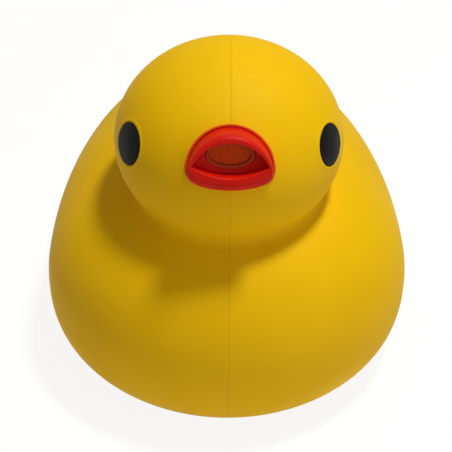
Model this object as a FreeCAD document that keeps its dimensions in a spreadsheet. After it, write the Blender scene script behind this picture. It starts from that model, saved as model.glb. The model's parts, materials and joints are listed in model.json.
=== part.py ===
import FreeCAD, Part
import math
import os

import Sketcher
from FreeCAD import Matrix, Placement, Rotation, Vector

# A duck-shaped float that carries chlorine tablets in a chamber sunk into its flat base.
# Millimetres. The duck looks along -Y, +Z is up, and the origin is on the ground under the
# middle of the duck, on the axis of the tablet chamber. Left and right are the duck's own.

sizes = {
    # egg-shaped body, measured from its widest station
    "halfWidth": 100,
    "frontReach": 90,
    "rearReach": 172,
    "widestY": -41,
    "waistHeight": 43,
    "bellyDrop": 61,
    "backRise": 78,
    "fullness": 2.28,
    "shellWall": 3,
    # head
    "headHalfWidth": 58.2,
    "headHalfDepth": 54.8,
    "headHalfHeight": 50.2,
    "headY": -46,
    "headZ": 142.5,
    # upturned tail
    "tailHalfLength": 47,
    "tailHalfWidth": 33,
    "tailHalfThickness": 18,
    "tailY": 88,
    "tailZ": 65,
    "tailTilt": 35,
    # eyes, set into the head
    "eyeRadius": 10.7,
    "eyeThickness": 1.2,
    "eyeProud": 0.2,
    "eyeGap": 0.1,
    "eyeAzimuth": 62.3,
    "eyeElevation": 16,
    # bill, and the vent behind it
    "billElevation": 28,
    "billTilt": 22,
    "billRoot": 10,
    "billHalfWidth": 21.5,
    "billUp": 17,
    "billDown": 13,
    "billWidest": 5,
    "billReach": 9,
    "billTaper": 1,
    "lipRound": 1.6,
    "mouthHalfWidth": 18,
    "mouthUp": 11.4,
    "mouthDown": 4,
    "mouthDepth": 8,
    "throatHalfWidth": 11.4,
    "throatHalfHeight": 6.4,
    "throatRise": 3.7,
    "seatGap": 0.1,
    "neckWall": 3,
    "neckLength": 11,
    "neckGap": 0.2,
    "retainerWidth": 3,
    "bushGap": 0.1,
    "bushProud": 0.6,
    "bushRim": 1.4,
    "bushLedge": 1,
    "bushBack": 2,
    "ventDiscThickness": 2,
    "ventDiscSink": 1.2,
    "spigotRadius": 3.2,
    "spigotBore": 2,
    "spigotLength": 12,
    "tubeWall": 1.5,
    "tubeGap": 0.5,
    "tubeBend": 26,
    "clipWall": 1.4,
    "clipWidth": 5,
    "clipInset": 2,
    # base pan that closes the float
    "baseThickness": 3,
    "panClearance": 2,
    "panDepth": 16,
    "panWall": 3,
    "panHoleGap": 2,
    "panShellGap": 0.3,
    "ribCount": 12,
    "ribThickness": 2.5,
    "ribHeight": 7,
    "bossRadius": 4.5,
    "bossHeight": 14,
    "lipHeight": 4,
    "lipThickness": 2,
    "lipGap": 0.2,
    # tablet chamber, hung in the pan by its flange
    "chamberBore": 43.5,
    "chamberWall": 2.5,
    "chamberTop": 100,
    "chamberShoulder": 6,
    "flangeEdge": 5.5,
    "flangeThickness": 3,
    "gasketThickness": 1.5,
    "screwCount": 6,
    "screwRadius": 2,
    "screwGap": 0.2,
    "screwHeadRadius": 3.5,
    "screwHeadHeight": 2.4,
    "screwLength": 12,
    "ventOffset": 24,
    # screw cap with fan windows
    "capOverlap": 8.5,
    "capClearance": 3,
    "capHeight": 8,
    "capFloor": 3,
    "capRim": 3.5,
    "skirtHeight": 10,
    "skirtWall": 3,
    "threadGap": 1.2,
    "sealThickness": 1.5,
    "sealWidth": 4,
    "fluteCount": 24,
    "fluteRadius": 2.4,
    "windowCount": 6,
    "windowInner": 14,
    "windowMargin": 2.3,
    "windowAngle": 26,
    "rackHeight": 8.5,
    "rackThickness": 2.5,
    "capBossRadius": 8,
    "capBossHeight": 4,
    # flow dial under the cap
    "dialGap": 0.3,
    "dialThickness": 2.7,
    "dialRimGap": 0.5,
    "hubRadius": 10,
    "hubDrop": 2,
    "gripWidth": 5,
    "stopPinRadius": 1.5,
    "stopPinHeight": 2,
    "stopInset": 5.5,
    "dialTravel": 30,
    "pivotRadius": 3,
    "pivotGap": 0.08,
    "pivotHeadRadius": 6,
    "pivotHeadHeight": 2,
    "headGap": 0.1,
    "washerRadius": 6.4,
    "washerThickness": 0.5,
    "nutHeight": 4,
    "nutRadius": 5.6,
    # seam pins between the two shell halves
    "pinRadius": 2,
    "pinLength": 4,
    "pinGap": 0.1,
    "pinBossRadius": 4.5,
    "pinBossLength": 12,
    "pinBossSink": 1,
}

doc = FreeCAD.newDocument("DuckDispenser")
sheet = doc.addObject("Spreadsheet::Sheet", "Sizes")
for row, (alias, value) in enumerate(sizes.items(), 1):
    sheet.set(f"A{row}", alias)
    sheet.set(f"B{row}", str(value))
    sheet.setAlias(f"B{row}", alias)
doc.recompute()


def size(alias):
    """The value that a cell of the sheet holds."""
    return float(getattr(sheet, alias))


def in_sheet(expression):
    """The expression with each alias in it written as a cell of the sheet."""
    words = []
    word = ""
    for letter in expression + " ":
        if letter.isalnum():
            word += letter
            continue
        words.append("Sizes." + word if word in sizes else word)
        words.append(letter)
        word = ""
    return "".join(words).strip()


def bind(thing, **expressions):
    """Ties properties of an object to the sheet; x, y and z are its place, turn is its angle."""
    paths = {"x": "Placement.Base.x", "y": "Placement.Base.y", "z": "Placement.Base.z"}
    paths["turn"] = "Placement.Rotation.Angle"
    paths["about_x"] = "Placement.Rotation.Axis.x"
    paths["about_y"] = "Placement.Rotation.Axis.y"
    for name, expression in expressions.items():
        thing.setExpression(paths.get(name, name), in_sheet(expression))
    return thing


def primitive(kind, name, axis=None, **expressions):
    """A Part primitive with its sizes and place tied to the sheet."""
    thing = doc.addObject("Part::" + kind, name)
    if axis:
        thing.Placement = Placement(Vector(), Rotation(Vector(*axis), 1))
    return bind(thing, **expressions)


def fuse(name, *things):
    joined = doc.addObject("Part::MultiFuse", name)
    joined.Shapes = list(things)
    joined.Refine = False
    return joined


def cut(name, base, *tools):
    """Each tool is cut in turn, so that tools may overlap."""
    for count, tool in enumerate(tools, 1):
        left = doc.addObject("Part::Cut", name if count == len(tools) else f"{name}Cut{count}")
        left.Base = base
        left.Tool = tool
        left.Refine = False
        base = left
    return base


def common(name, *things):
    shared = doc.addObject("Part::MultiCommon", name)
    shared.Shapes = list(things)
    shared.Refine = False
    return shared


def group(name, things):
    """Separate solids that share one node."""
    together = doc.addObject("Part::Compound", name)
    together.Links = list(things)
    return together


def form(name, shape):
    """A shape that neither a feature nor a primitive makes, as an object of the document."""
    thing = doc.addObject("Part::Feature", name)
    thing.Shape = shape
    return thing


# ---- sketches and bodies


def new_body(name):
    body = doc.addObject("PartDesign::Body", name)
    body.Label = name
    return body


def origin_part(body, role):
    return next(f for f in body.Origin.OriginFeatures if f.Role == role)


def new_sketch(body, name, plane, offset=None, turn=None):
    """An empty sketch on one of the body's own origin planes, moved and turned about its normal."""
    sketch = body.newObject("Sketcher::SketchObject", name)
    sketch.AttachmentSupport = [(origin_part(body, plane), "")]
    sketch.MapMode = "FlatFace"
    if offset:
        sketch.setExpression("AttachmentOffset.Base.z", in_sheet(offset))
    if turn:
        sketch.setExpression("AttachmentOffset.Rotation.Angle", in_sheet(turn))
    return sketch


def hold(sketch, kind, *where, **named):
    """Adds a constraint. A named one gets its value from an expression."""
    index = sketch.addConstraint(Sketcher.Constraint(kind, *where))
    for name, expression in named.items():
        sketch.renameConstraint(index, name)
        sketch.setExpression("Constraints." + name, in_sheet(expression))
    return index


def polygon(sketch, corners):
    """A closed outline whose corners are each a pair of expressions, across and up."""
    count = len(corners)
    rough = [Vector(math.cos(6.283 * k / count), math.sin(6.283 * k / count), 0) for k in range(count)]
    lines = [
        sketch.addGeometry(Part.LineSegment(rough[k], rough[(k + 1) % count]), False)
        for k in range(count)
    ]
    for k in range(count):
        hold(sketch, "Coincident", lines[k], 2, lines[(k + 1) % count], 1)
        for kind, axis, expression in (("DistanceX", -2, corners[k][0]), ("DistanceY", -1, corners[k][1])):
            if expression == "0":
                hold(sketch, "PointOnObject", lines[k], 1, axis)
            else:
                hold(sketch, kind, -1, 1, lines[k], 1, 1.0, **{f"{kind}{k}": expression})
    return sketch


def circle(sketch, radius, across="0", up="0", tag=""):
    """A circle; its centre is a pair of expressions."""
    ring = sketch.addGeometry(Part.Circle(Vector(1, 1, 0), Vector(0, 0, 1), 1), False)
    hold(sketch, "Radius", ring, 1.0, **{"radius" + tag: radius})
    for kind, axis, expression in (("DistanceX", -2, across), ("DistanceY", -1, up)):
        if expression == "0":
            hold(sketch, "PointOnObject", ring, 3, axis)
        else:
            hold(sketch, kind, -1, 1, ring, 3, 1.0, **{kind + tag: expression})
    return sketch


def spoke(sketch, start, end, thickness):
    """A straight bar along the sketch's X axis between two radii."""
    half = f"{thickness} / 2"
    return polygon(sketch, [(start, f"0 - {half}"), (end, f"0 - {half}"), (end, half), (start, half)])


def revolve(body, name, corners):
    """Turns a half outline, given as pairs of radius and height, about the body's Z axis."""
    sketch = polygon(new_sketch(body, name + "Profile", "XZ_Plane"), corners)
    turned = body.newObject("PartDesign::Revolution", name)
    turned.Profile = sketch
    turned.ReferenceAxis = (sketch, ["V_Axis"])
    turned.Angle = 360
    sketch.Visibility = False
    return turned


def pad(body, name, sketch, length, backwards=False):
    made = body.newObject("PartDesign::Pad", name)
    made.Profile = sketch
    made.Reversed = backwards
    return bind(made, Length=length)


def pocket(body, name, sketch, length, backwards=False):
    made = body.newObject("PartDesign::Pocket", name)
    made.Profile = sketch
    made.Reversed = backwards
    return bind(made, Length=length)


def around(body, name, feature, count):
    """Repeats a feature in a full circle about the body's Z axis."""
    pattern = body.newObject("PartDesign::PolarPattern", name)
    pattern.Originals = [feature]
    pattern.Axis = (origin_part(body, "Z_Axis"), [""])
    pattern.Angle = 360
    bind(pattern, Occurrences=count)
    body.Tip = pattern
    return pattern


def fan(sketch, inner, outer, angle):
    """A window between two arcs and two spokes, centred on the sketch's X axis."""
    near = size(inner)
    far = 2.5 * near
    half = math.radians(size(angle) / 2)
    low_in = Vector(near * math.cos(half), -near * math.sin(half), 0)
    low_out = Vector(far * math.cos(half), -far * math.sin(half), 0)
    high_in = Vector(low_in.x, -low_in.y, 0)
    high_out = Vector(low_out.x, -low_out.y, 0)
    low = sketch.addGeometry(Part.LineSegment(low_in, low_out), False)
    rim = sketch.addGeometry(Part.Arc(low_out, Vector(far, 0, 0), high_out), False)
    high = sketch.addGeometry(Part.LineSegment(high_out, high_in), False)
    root = sketch.addGeometry(Part.Arc(low_in, Vector(near, 0, 0), high_in), False)
    hold(sketch, "Coincident", low, 2, rim, 1)
    hold(sketch, "Coincident", rim, 2, high, 1)
    hold(sketch, "Coincident", high, 2, root, 2)
    hold(sketch, "Coincident", root, 1, low, 1)
    hold(sketch, "Coincident", rim, 3, -1, 1)
    hold(sketch, "Coincident", root, 3, -1, 1)
    hold(sketch, "Radius", rim, far, outer=outer)
    hold(sketch, "Radius", root, near, inner=inner)
    hold(sketch, "PointOnObject", -1, 1, low)
    hold(sketch, "PointOnObject", -1, 1, high)
    hold(sketch, "Angle", low, -half, low=f"-{angle} / 2")
    hold(sketch, "Angle", high, half - math.pi, high=f"{angle} / 2 - 180")
    return sketch


def lens(sketch, wide, up, down, less="0"):
    """Two arcs that meet at the corners of the mouth, drawn in all round by one amount."""
    across, above, below = size(wide), size(up), size(down)
    left, right = Vector(-across, 0, 0), Vector(across, 0, 0)
    upper = sketch.addGeometry(Part.Arc(right, Vector(0, above, 0), left), False)
    lower = sketch.addGeometry(Part.Arc(left, Vector(0, -below, 0), right), False)
    hold(sketch, "Coincident", upper, 1, lower, 2)
    hold(sketch, "Coincident", upper, 2, lower, 1)
    hold(sketch, "PointOnObject", upper, 1, -1)
    hold(sketch, "PointOnObject", upper, 2, -1)
    hold(sketch, "DistanceX", -1, 1, upper, 1, across, right=f"{wide} - {less}")
    hold(sketch, "DistanceX", upper, 2, -1, 1, across, left=f"{wide} - {less}")
    for arc, name, reach in ((upper, "above", up), (lower, "below", down)):
        chord = f"(({wide} - {less})^2 + ({reach} - {less})^2)"
        hold(sketch, "Radius", arc, abs(size(reach)) + 1, **{name: f"{chord} / (2 * ({reach} - {less}))"})
    return sketch


# ---- the duck's outer form, and the same form drawn in for the inside of its wall


def egg(name, less=0.0):
    """The body: an oval in plan that reaches further back than forward, and full in height."""
    wide = size("halfWidth") - less
    rise = size("backRise") - less
    drop = size("bellyDrop") - less
    power = 2 / size("fullness")
    outline = []
    for step in range(-12, 13):
        angle = math.radians(7.5 * step)
        lift = math.copysign(abs(math.sin(angle)) ** power, angle)
        reach = math.cos(angle) ** power if abs(step) < 12 else 0.0
        height = size("waistHeight") + lift * (rise if step > 0 else drop)
        outline.append(Vector(wide * reach, 0, height))
    curve = Part.BSplineCurve()
    curve.interpolate(Points=outline, InitialTangent=Vector(1, 0, 0), FinalTangent=Vector(-1, 0, 0))
    axis = Part.LineSegment(outline[-1], outline[0])
    section = Part.Face(Part.Wire([curve.toShape(), axis.toShape()]))
    halves = []
    for turn, reach in ((-180, size("frontReach") - less), (180, size("rearReach") - less)):
        stretch = Matrix()
        stretch.scale(1, reach / wide, 1)
        halves.append(section.revolve(Vector(), Vector(0, 0, 1), turn).transformGeometry(stretch))
    body = halves[0].fuse(halves[1])
    body.translate(Vector(0, size("widestY"), 0))
    return form(name, body)


def head(name, less="0"):
    """The head's ellipsoid, drawn in by some amount."""
    made = primitive("Ellipsoid", name, y="headY", z="headZ")
    bind(made, Radius1=f"headHalfHeight - {less}")
    return bind(made, Radius2=f"headHalfWidth - {less}", Radius3=f"headHalfDepth - {less}")


def tail(name, less="0"):
    """The tail's ellipsoid, tipped up at the back."""
    made = primitive("Ellipsoid", name, axis=(1, 0, 0), y="tailY", z="tailZ", turn="tailTilt")
    bind(made, Radius1=f"tailHalfThickness - {less}")
    return bind(made, Radius2=f"tailHalfWidth - {less}", Radius3=f"tailHalfLength - {less}")


def slab(name, low, thick, left_only=False):
    """A block across the duck between two heights, or across its left half."""
    return primitive(
        "Box",
        name,
        Length="halfWidth + 10" if left_only else "2 * halfWidth + 20",
        Width="frontReach + rearReach + 20",
        Height=thick,
        x="0" if left_only else "0 - halfWidth - 10",
        y="widestY - frontReach - 10",
        z=low,
    )


def at_bill(along="0", lift="0"):
    """A place so far out along the bill's axis and so far up across it, facing out."""
    face_y = "headY - headHalfDepth * cos(billElevation)"
    face_z = "headZ + headHalfHeight * sin(billElevation)"
    return {
        "y": f"{face_y} - ({along}) * cos(billTilt) + ({lift}) * sin(billTilt)",
        "z": f"{face_z} + ({along}) * sin(billTilt) + ({lift}) * cos(billTilt)",
        "turn": "90 - billTilt",
    }


def oval(name, grow, start, end):
    """A bar with the throat's oval section, grown by some amount, between two places on its axis."""
    place = at_bill(start, "throatRise")
    ring = primitive("Ellipse", name + "Ring", axis=(1, 0, 0), **place)
    bind(ring, MajorRadius=f"throatHalfWidth + {grow}", MinorRadius=f"throatHalfHeight + {grow}")
    bar = doc.addObject("Part::Extrusion", name)
    bar.Base = ring
    bar.DirMode = "Normal"
    bar.Reversed = True
    bar.Solid = True
    return bind(bar, LengthFwd=f"{end} - ({start})")


def at_eye():
    """The frame of the left eye: it starts at the head's centre and looks out through the eye."""
    return {
        "y": "headY",
        "z": "headZ",
        "about_x": "cos(eyeAzimuth)",
        "about_y": "sin(eyeAzimuth)",
        "turn": "90 - eyeElevation",
    }


def rod(name, radius, height, **place):
    return primitive("Cylinder", name, Radius=radius, Height=height, **place)


# ---- radii and heights that follow from the sheet: each ring fits round the one inside it

skirt_radius = "(chamberBore - threadGap)"
window_outer = f"({skirt_radius} - skirtWall - windowMargin)"
cap_radius = "(chamberBore + capOverlap)"
dial_radius = f"({cap_radius} - capRim - dialRimGap)"
stop_circle = f"({dial_radius} - stopInset)"
pan_hole = "(chamberBore + chamberWall + panHoleGap)"
screw_circle = f"({cap_radius} + capClearance + screwHeadRadius)"
flange_radius = f"({screw_circle} + flangeEdge)"
pan_radius = f"({flange_radius} + panClearance)"

flange_top = "(panDepth - gasketThickness)"
flange_bottom = f"({flange_top} - flangeThickness)"
cap_top = f"({flange_bottom} - sealThickness)"
cap_bottom = f"({cap_top} - capHeight)"
floor_bottom = f"({cap_top} - capFloor)"
dial_top = f"({floor_bottom} - dialGap)"
dial_bottom = f"({dial_top} - dialThickness)"
boss_top = f"({cap_top} + capBossHeight)"
head_top = f"({dial_bottom} - headGap)"

# ---- float shells: two halves glued along the middle of the duck

inner_body = fuse("InnerBody", egg("InnerEgg", size("shellWall")), head("InnerHead", "shellWall"))
inner = fuse("InnerForm", inner_body, tail("InnerTail", "shellWall"))
above_base = slab("AboveBase", "baseThickness", "headZ + headHalfHeight", left_only=True)
left_egg = common("LeftEgg", egg("OuterEgg"), above_base)
left_body = fuse("LeftBody", left_egg, common("LeftHead", head("OuterHead"), above_base))
left_solid = fuse("LeftSolid", left_body, common("LeftTail", tail("OuterTail"), above_base))

bill_hole = oval("BillHole", "neckWall + neckGap", "0 - neckLength", "shellWall")
eye_bore = rod("EyeBore", "eyeRadius + eyeGap", "2 * headHalfWidth", axis=(1, 0, 0), **at_eye())
eye_recess = cut("EyeRecess", eye_bore, head("EyeFloor", "eyeThickness"))
pan_room = "panWall + panShellGap"
pan_recess = rod("PanRecess", f"{pan_radius} + {pan_room}", f"panDepth + {pan_room}")
half_wall = cut("HalfWall", left_solid, inner, bill_hole, eye_recess, pan_recess)

pin_drop = "shellWall + pinBossRadius - pinBossSink"
pin_places = {
    "Chest": {"y": f"widestY - frontReach + {pin_drop}", "z": "waistHeight"},
    "Rump": {"y": f"widestY + rearReach - ({pin_drop})", "z": "waistHeight"},
    "Crown": {"y": "headY", "z": f"headZ + headHalfHeight - ({pin_drop})"},
}
bosses = []
pins = []
sockets = []
for where, place in pin_places.items():
    across = dict(axis=(0, 1, 0), turn="90", **place)
    bosses.append(rod(where + "Boss", "pinBossRadius", "pinBossLength", **across))
    pins.append(rod(where + "Pin", "pinRadius", "2 * pinLength", x="0 - pinLength", **across))
    deep = "2 * pinLength + 2 * pinGap"
    sockets.append(rod(where + "Socket", "pinRadius + pinGap", deep, x="0 - pinLength - pinGap", **across))
half_shell = fuse("HalfShell", half_wall, *bosses)
float_shell_left = fuse("float_shell_left", half_shell, *pins)
mirrored = doc.addObject("Part::Mirroring", "MirroredShell")
mirrored.Source = half_shell
mirrored.Normal = Vector(1, 0, 0)
float_shell_right = cut("float_shell_right", mirrored, fuse("SeamSockets", *sockets))

# ---- eyes: thin caps inlaid flush in the head

eye_bar = rod("EyeBar", "eyeRadius", "2 * headHalfWidth", axis=(1, 0, 0), **at_eye())
eye_skin = cut("EyeSkin", head("EyeFace", "(0 - eyeProud)"), head("EyeBack", "eyeThickness"))
eye_left = common("eye_left", eye_bar, eye_skin)
eye_right = doc.addObject("Part::Mirroring", "eye_right")
eye_right.Source = eye_left
eye_right.Normal = Vector(1, 0, 0)

# ---- bill: lips that sit on the head, with a neck that the shells clamp from inside

def lip_outline(less, along):
    """The outline of the lips at one station: half an oval above its widest place and half below."""
    wide = size("billHalfWidth") - less
    above = size("billUp") + size("billWidest") - less
    below = size("billDown") - size("billWidest") - less
    arcs = []
    for reach, side in ((above, 1), (below, -1)):
        corner, crown = Vector(wide, 0, 0), Vector(0, side * reach, 0)
        if reach < wide:
            half_oval = Part.ArcOfEllipse(Part.Ellipse(corner, crown, Vector()), 0, math.pi)
        else:
            tall = Part.Ellipse(crown, corner, Vector())
            half_oval = Part.ArcOfEllipse(tall, -math.pi / 2, math.pi / 2)
        arcs.append(half_oval.toShape())
    outline = Part.Wire(arcs)
    outline.translate(Vector(0, -size("billWidest"), along))
    return outline


stations = [lip_outline(0, -size("billRoot")), lip_outline(size("billTaper"), size("billReach"))]
lip_block = Part.makeLoft(stations, True, True)
front_rim = [e for e in lip_block.Edges if e.BoundBox.ZMin > 0]
lips = form("Lips", lip_block.makeFillet(size("lipRound"), front_rim))
lips.Placement = Placement(Vector(), Rotation(Vector(1, 0, 0), 1))
bind(lips, **at_bill())

mouth_body = new_body("MouthBody")
mouth_body.Placement = Placement(Vector(), Rotation(Vector(1, 0, 0), 1))
bind(mouth_body, **at_bill())
mouth = new_sketch(mouth_body, "Mouth", "XY_Plane", "billReach - mouthDepth")
lens(mouth, "mouthHalfWidth", "mouthUp", "mouthDown")
pad(mouth_body, "MouthHollow", mouth, "mouthDepth + 1")

seated_lips = cut("SeatedLips", lips, head("BillSeat", "(0 - seatGap)"))
neck = oval("Neck", "neckWall", "0 - neckLength", "billReach - mouthDepth")
retainer_bar = oval("RetainerBar", "neckWall + retainerWidth", "0 - neckLength", "shellWall")
retainer = common("Retainer", retainer_bar, head("RetainerSeat", "(shellWall + seatGap)"))
throat = oval("Throat", "0", "0 - neckLength - 1", "billReach - mouthDepth + 1")
bill = cut("bill", fuse("BillOuter", seated_lips, neck, retainer), mouth_body, throat)

# ---- vent behind the throat: a bush, a porous disc, and a tube down to the chamber

bush_front = "billReach - mouthDepth + bushProud"
disc_back = f"{bush_front} - ventDiscSink - ventDiscThickness"
bush_outer = oval("BushOuter", "(0 - bushGap)", "0 - neckLength", bush_front)
disc_seat = oval("DiscSeat", "(0 - bushGap - bushRim)", disc_back, f"{bush_front} + 1")
plenum = oval("Plenum", "(0 - bushGap - bushRim - bushLedge)", "bushBack - neckLength", bush_front)
spigot_end = "0 - neckLength - spigotLength"
at_spigot = dict(axis=(1, 0, 0), **at_bill(spigot_end, "throatRise"))
bush_spigot = rod("BushSpigot", "spigotRadius", "spigotLength + bushBack / 2", **at_spigot)
bush_bore = rod("BushBore", "spigotBore", "spigotLength + 2 * bushBack", **at_spigot)
throat_bush = cut("throat_bush", fuse("BushSolid", bush_outer, bush_spigot), disc_seat, plenum, bush_bore)
disc_end = f"{bush_front} - ventDiscSink"
vent_disc = oval("vent_disc", "(0 - 2 * bushGap - bushRim)", disc_back, disc_end)

root_y = "(headY - headHalfDepth * cos(billElevation) + throatRise * sin(billTilt))"
root_z = "(headZ + headHalfHeight * sin(billElevation) + throatRise * cos(billTilt))"
level_run = f"((0 - ventOffset - {root_y}) / cos(billTilt))"
corner_z = f"({root_z} - {level_run} * sin(billTilt))"
easing = "(tubeBend * tan(45 - billTilt / 2))"


def tube_run(name, radius):
    """A bar along the tube's path: up from the chamber, round the bend, and out to the bush."""
    foot = "chamberTop + tubeGap"
    riser = rod(name + "Riser", radius, f"{corner_z} - {easing} - ({foot})", y="0 - ventOffset", z=foot)
    bend = primitive(
        "Torus",
        name + "Bend",
        axis=(1, 1, 1),
        Radius1="tubeBend",
        Radius2=radius,
        Angle3="90 - billTilt",
        y="0 - ventOffset - tubeBend",
        z=f"{corner_z} - {easing}",
    )
    bend.Placement.Rotation = Rotation(Vector(1, 1, 1), 120)
    start = f"0 - {level_run} + {easing}"
    run = rod(
        name + "Run",
        radius,
        f"{level_run} - {easing} - neckLength - tubeGap",
        axis=(1, 0, 0),
        **at_bill(start, "throatRise"),
    )
    return fuse(name, riser, bend, run)


tube_bore = tube_run("TubeBore", "spigotRadius")
vent_tube = cut("vent_tube", tube_run("TubeOuter", "spigotRadius + tubeWall"), tube_bore)

clips = []
upper_clip = at_bill("0 - neckLength - tubeGap - clipInset - clipWidth", "throatRise")
for where, place in {
    "Lower": {"y": "0 - ventOffset", "z": "chamberTop + tubeGap + clipInset"},
    "Upper": {"axis": (1, 0, 0), **upper_clip},
}.items():
    band = rod(where + "Band", "spigotRadius + tubeWall + clipWall", "clipWidth", **place)
    grip = rod(where + "Grip", "spigotRadius + tubeWall", "clipWidth", **place)
    clips.append(cut(where + "Clip", band, grip))
tube_clips = group("tube_clips", clips)

# ---- base pan: the float's flat bottom, with the recess that the chamber and cap sit in

base_oval = common("BaseOval", egg("BaseEgg"), slab("BaseSlab", "0", "baseThickness"))
lip_slab = slab("LipSlab", "baseThickness / 2", "baseThickness / 2 + lipHeight")
lip_solid = common("LipSolid", egg("LipEgg", size("shellWall") + size("lipGap")), lip_slab)
lip_core = egg("LipCore", size("shellWall") + size("lipGap") + size("lipThickness"))
base_lip = cut("BaseLip", lip_solid, lip_core)
pan_opening = rod("PanOpening", f"{pan_radius} + panWall / 2", "baseThickness")
base_plate = fuse("BasePlate", cut("BaseRing", base_oval, pan_opening), base_lip)

pan = new_body("Pan")
revolve(pan, "PanWall", [
    (pan_radius, "0"),
    (f"{pan_radius} + panWall", "0"),
    (f"{pan_radius} + panWall", "panDepth + panWall"),
    (pan_hole, "panDepth + panWall"),
    (pan_hole, "panDepth"),
    (pan_radius, "panDepth"),
])
rib = new_sketch(pan, "Rib", "XY_Plane", "panDepth + panWall", turn="180 / ribCount")
spoke(rib, f"{pan_hole} + ribThickness / 2", pan_radius, "ribThickness")
around(pan, "PanRibs", pad(pan, "PanRib", rib, "ribHeight"), "ribCount")
boss = new_sketch(pan, "Boss", "XY_Plane", "panDepth + panWall / 2")
circle(boss, "bossRadius", screw_circle)
around(pan, "PanBosses", pad(pan, "PanBoss", boss, "bossHeight"), "screwCount")
pilot = new_sketch(pan, "Pilot", "XY_Plane", "panDepth")
circle(pilot, "screwRadius", screw_circle)
pilot_depth = "screwLength - flangeThickness - gasketThickness + screwGap"
around(pan, "PanPilots", pocket(pan, "PanPilot", pilot, pilot_depth, backwards=True), "screwCount")
base_pan = fuse("base_pan", base_plate, pan)

# ---- tablet chamber: hung in the pan by its flange, closed at the top

tablet_chamber = new_body("tablet_chamber")
revolve(tablet_chamber, "Can", [
    ("chamberBore", flange_bottom),
    (flange_radius, flange_bottom),
    (flange_radius, flange_top),
    ("chamberBore + chamberWall", flange_top),
    ("chamberBore + chamberWall", "chamberTop - chamberShoulder"),
    ("chamberBore + chamberWall - chamberShoulder", "chamberTop"),
    ("0", "chamberTop"),
    ("0", "chamberTop - chamberWall"),
    ("chamberBore + chamberWall - chamberShoulder - chamberWall / 2", "chamberTop - chamberWall"),
    ("chamberBore", "chamberTop - chamberShoulder - chamberWall / 2"),
])
nozzle = new_sketch(tablet_chamber, "Nozzle", "XY_Plane", "chamberTop")
circle(nozzle, "spigotRadius", "0", "0 - ventOffset")
pad(tablet_chamber, "VentNozzle", nozzle, "spigotLength")
duct = new_sketch(tablet_chamber, "Duct", "XY_Plane", "chamberTop + spigotLength")
circle(duct, "spigotBore", "0", "0 - ventOffset")
pocket(tablet_chamber, "VentDuct", duct, "spigotLength + chamberWall")
flange_hole = new_sketch(tablet_chamber, "FlangeHole", "XY_Plane", flange_top)
circle(flange_hole, "screwRadius + screwGap", screw_circle)
flange_hole = pocket(tablet_chamber, "OneHole", flange_hole, "flangeThickness")
around(tablet_chamber, "FlangeHoles", flange_hole, "screwCount")

chamber_gasket = new_body("chamber_gasket")
revolve(chamber_gasket, "GasketRing", [
    (pan_hole, flange_top),
    (flange_radius, flange_top),
    (flange_radius, "panDepth"),
    (pan_hole, "panDepth"),
])
gasket_hole = new_sketch(chamber_gasket, "GasketHole", "XY_Plane", "panDepth")
circle(gasket_hole, "screwRadius + screwGap", screw_circle)
gasket_hole = pocket(chamber_gasket, "OneGasketHole", gasket_hole, "gasketThickness")
around(chamber_gasket, "GasketHoles", gasket_hole, "screwCount")

flange_screws = new_body("flange_screws")
screw_head = new_sketch(flange_screws, "ScrewHead", "XY_Plane", flange_bottom)
circle(screw_head, "screwHeadRadius", screw_circle)
screw_head = pad(flange_screws, "Heads", screw_head, "screwHeadHeight", backwards=True)
shank = circle(new_sketch(flange_screws, "Shank", "XY_Plane", flange_bottom), "screwRadius", screw_circle)
shank = pad(flange_screws, "Shanks", shank, "screwLength")
all_screws = flange_screws.newObject("PartDesign::PolarPattern", "AllScrews")
all_screws.Originals = [screw_head, shank]
all_screws.Axis = (origin_part(flange_screws, "Z_Axis"), [""])
bind(all_screws, Occurrences="screwCount")
flange_screws.Tip = all_screws

# ---- base cap: screws into the chamber from below and lets water in through fan windows

cap_gasket = new_body("cap_gasket")
revolve(cap_gasket, "SealRing", [
    (f"{cap_radius} - sealWidth", cap_top),
    (cap_radius, cap_top),
    (cap_radius, flange_bottom),
    (f"{cap_radius} - sealWidth", flange_bottom),
])

cap = new_body("Cap")
revolve(cap, "CapShell", [
    ("pivotRadius + pivotGap", floor_bottom),
    (f"{cap_radius} - capRim", floor_bottom),
    (f"{cap_radius} - capRim", cap_bottom),
    (cap_radius, cap_bottom),
    (cap_radius, cap_top),
    (skirt_radius, cap_top),
    (skirt_radius, cap_top + " + skirtHeight"),
    (skirt_radius + " - skirtWall", cap_top + " + skirtHeight"),
    (skirt_radius + " - skirtWall", cap_top),
    ("capBossRadius", cap_top),
    ("capBossRadius", cap_top + " + capBossHeight"),
    ("pivotRadius + pivotGap", cap_top + " + capBossHeight"),
])
window = fan(new_sketch(cap, "Window", "XY_Plane", cap_top), "windowInner", window_outer, "windowAngle")
around(cap, "Windows", pocket(cap, "OneWindow", window, "capFloor"), "windowCount")
rack = new_sketch(cap, "Rack", "XY_Plane", cap_top, turn="180 / windowCount")
spoke(rack, "capBossRadius - 1", f"{skirt_radius} - skirtWall / 2", "rackThickness")
around(cap, "RackRibs", pad(cap, "RackRib", rack, "rackHeight"), "windowCount")
flute = new_sketch(cap, "Flute", "XY_Plane", cap_bottom)
circle(flute, "fluteRadius", f"{cap_radius} + fluteRadius / 2")
flute = pocket(cap, "OneFlute", flute, "capHeight - capFloor / 2", backwards=True)
around(cap, "Flutes", flute, "fluteCount")

# ---- flow dial: a second fan under the cap's floor that opens and shuts the windows

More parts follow.
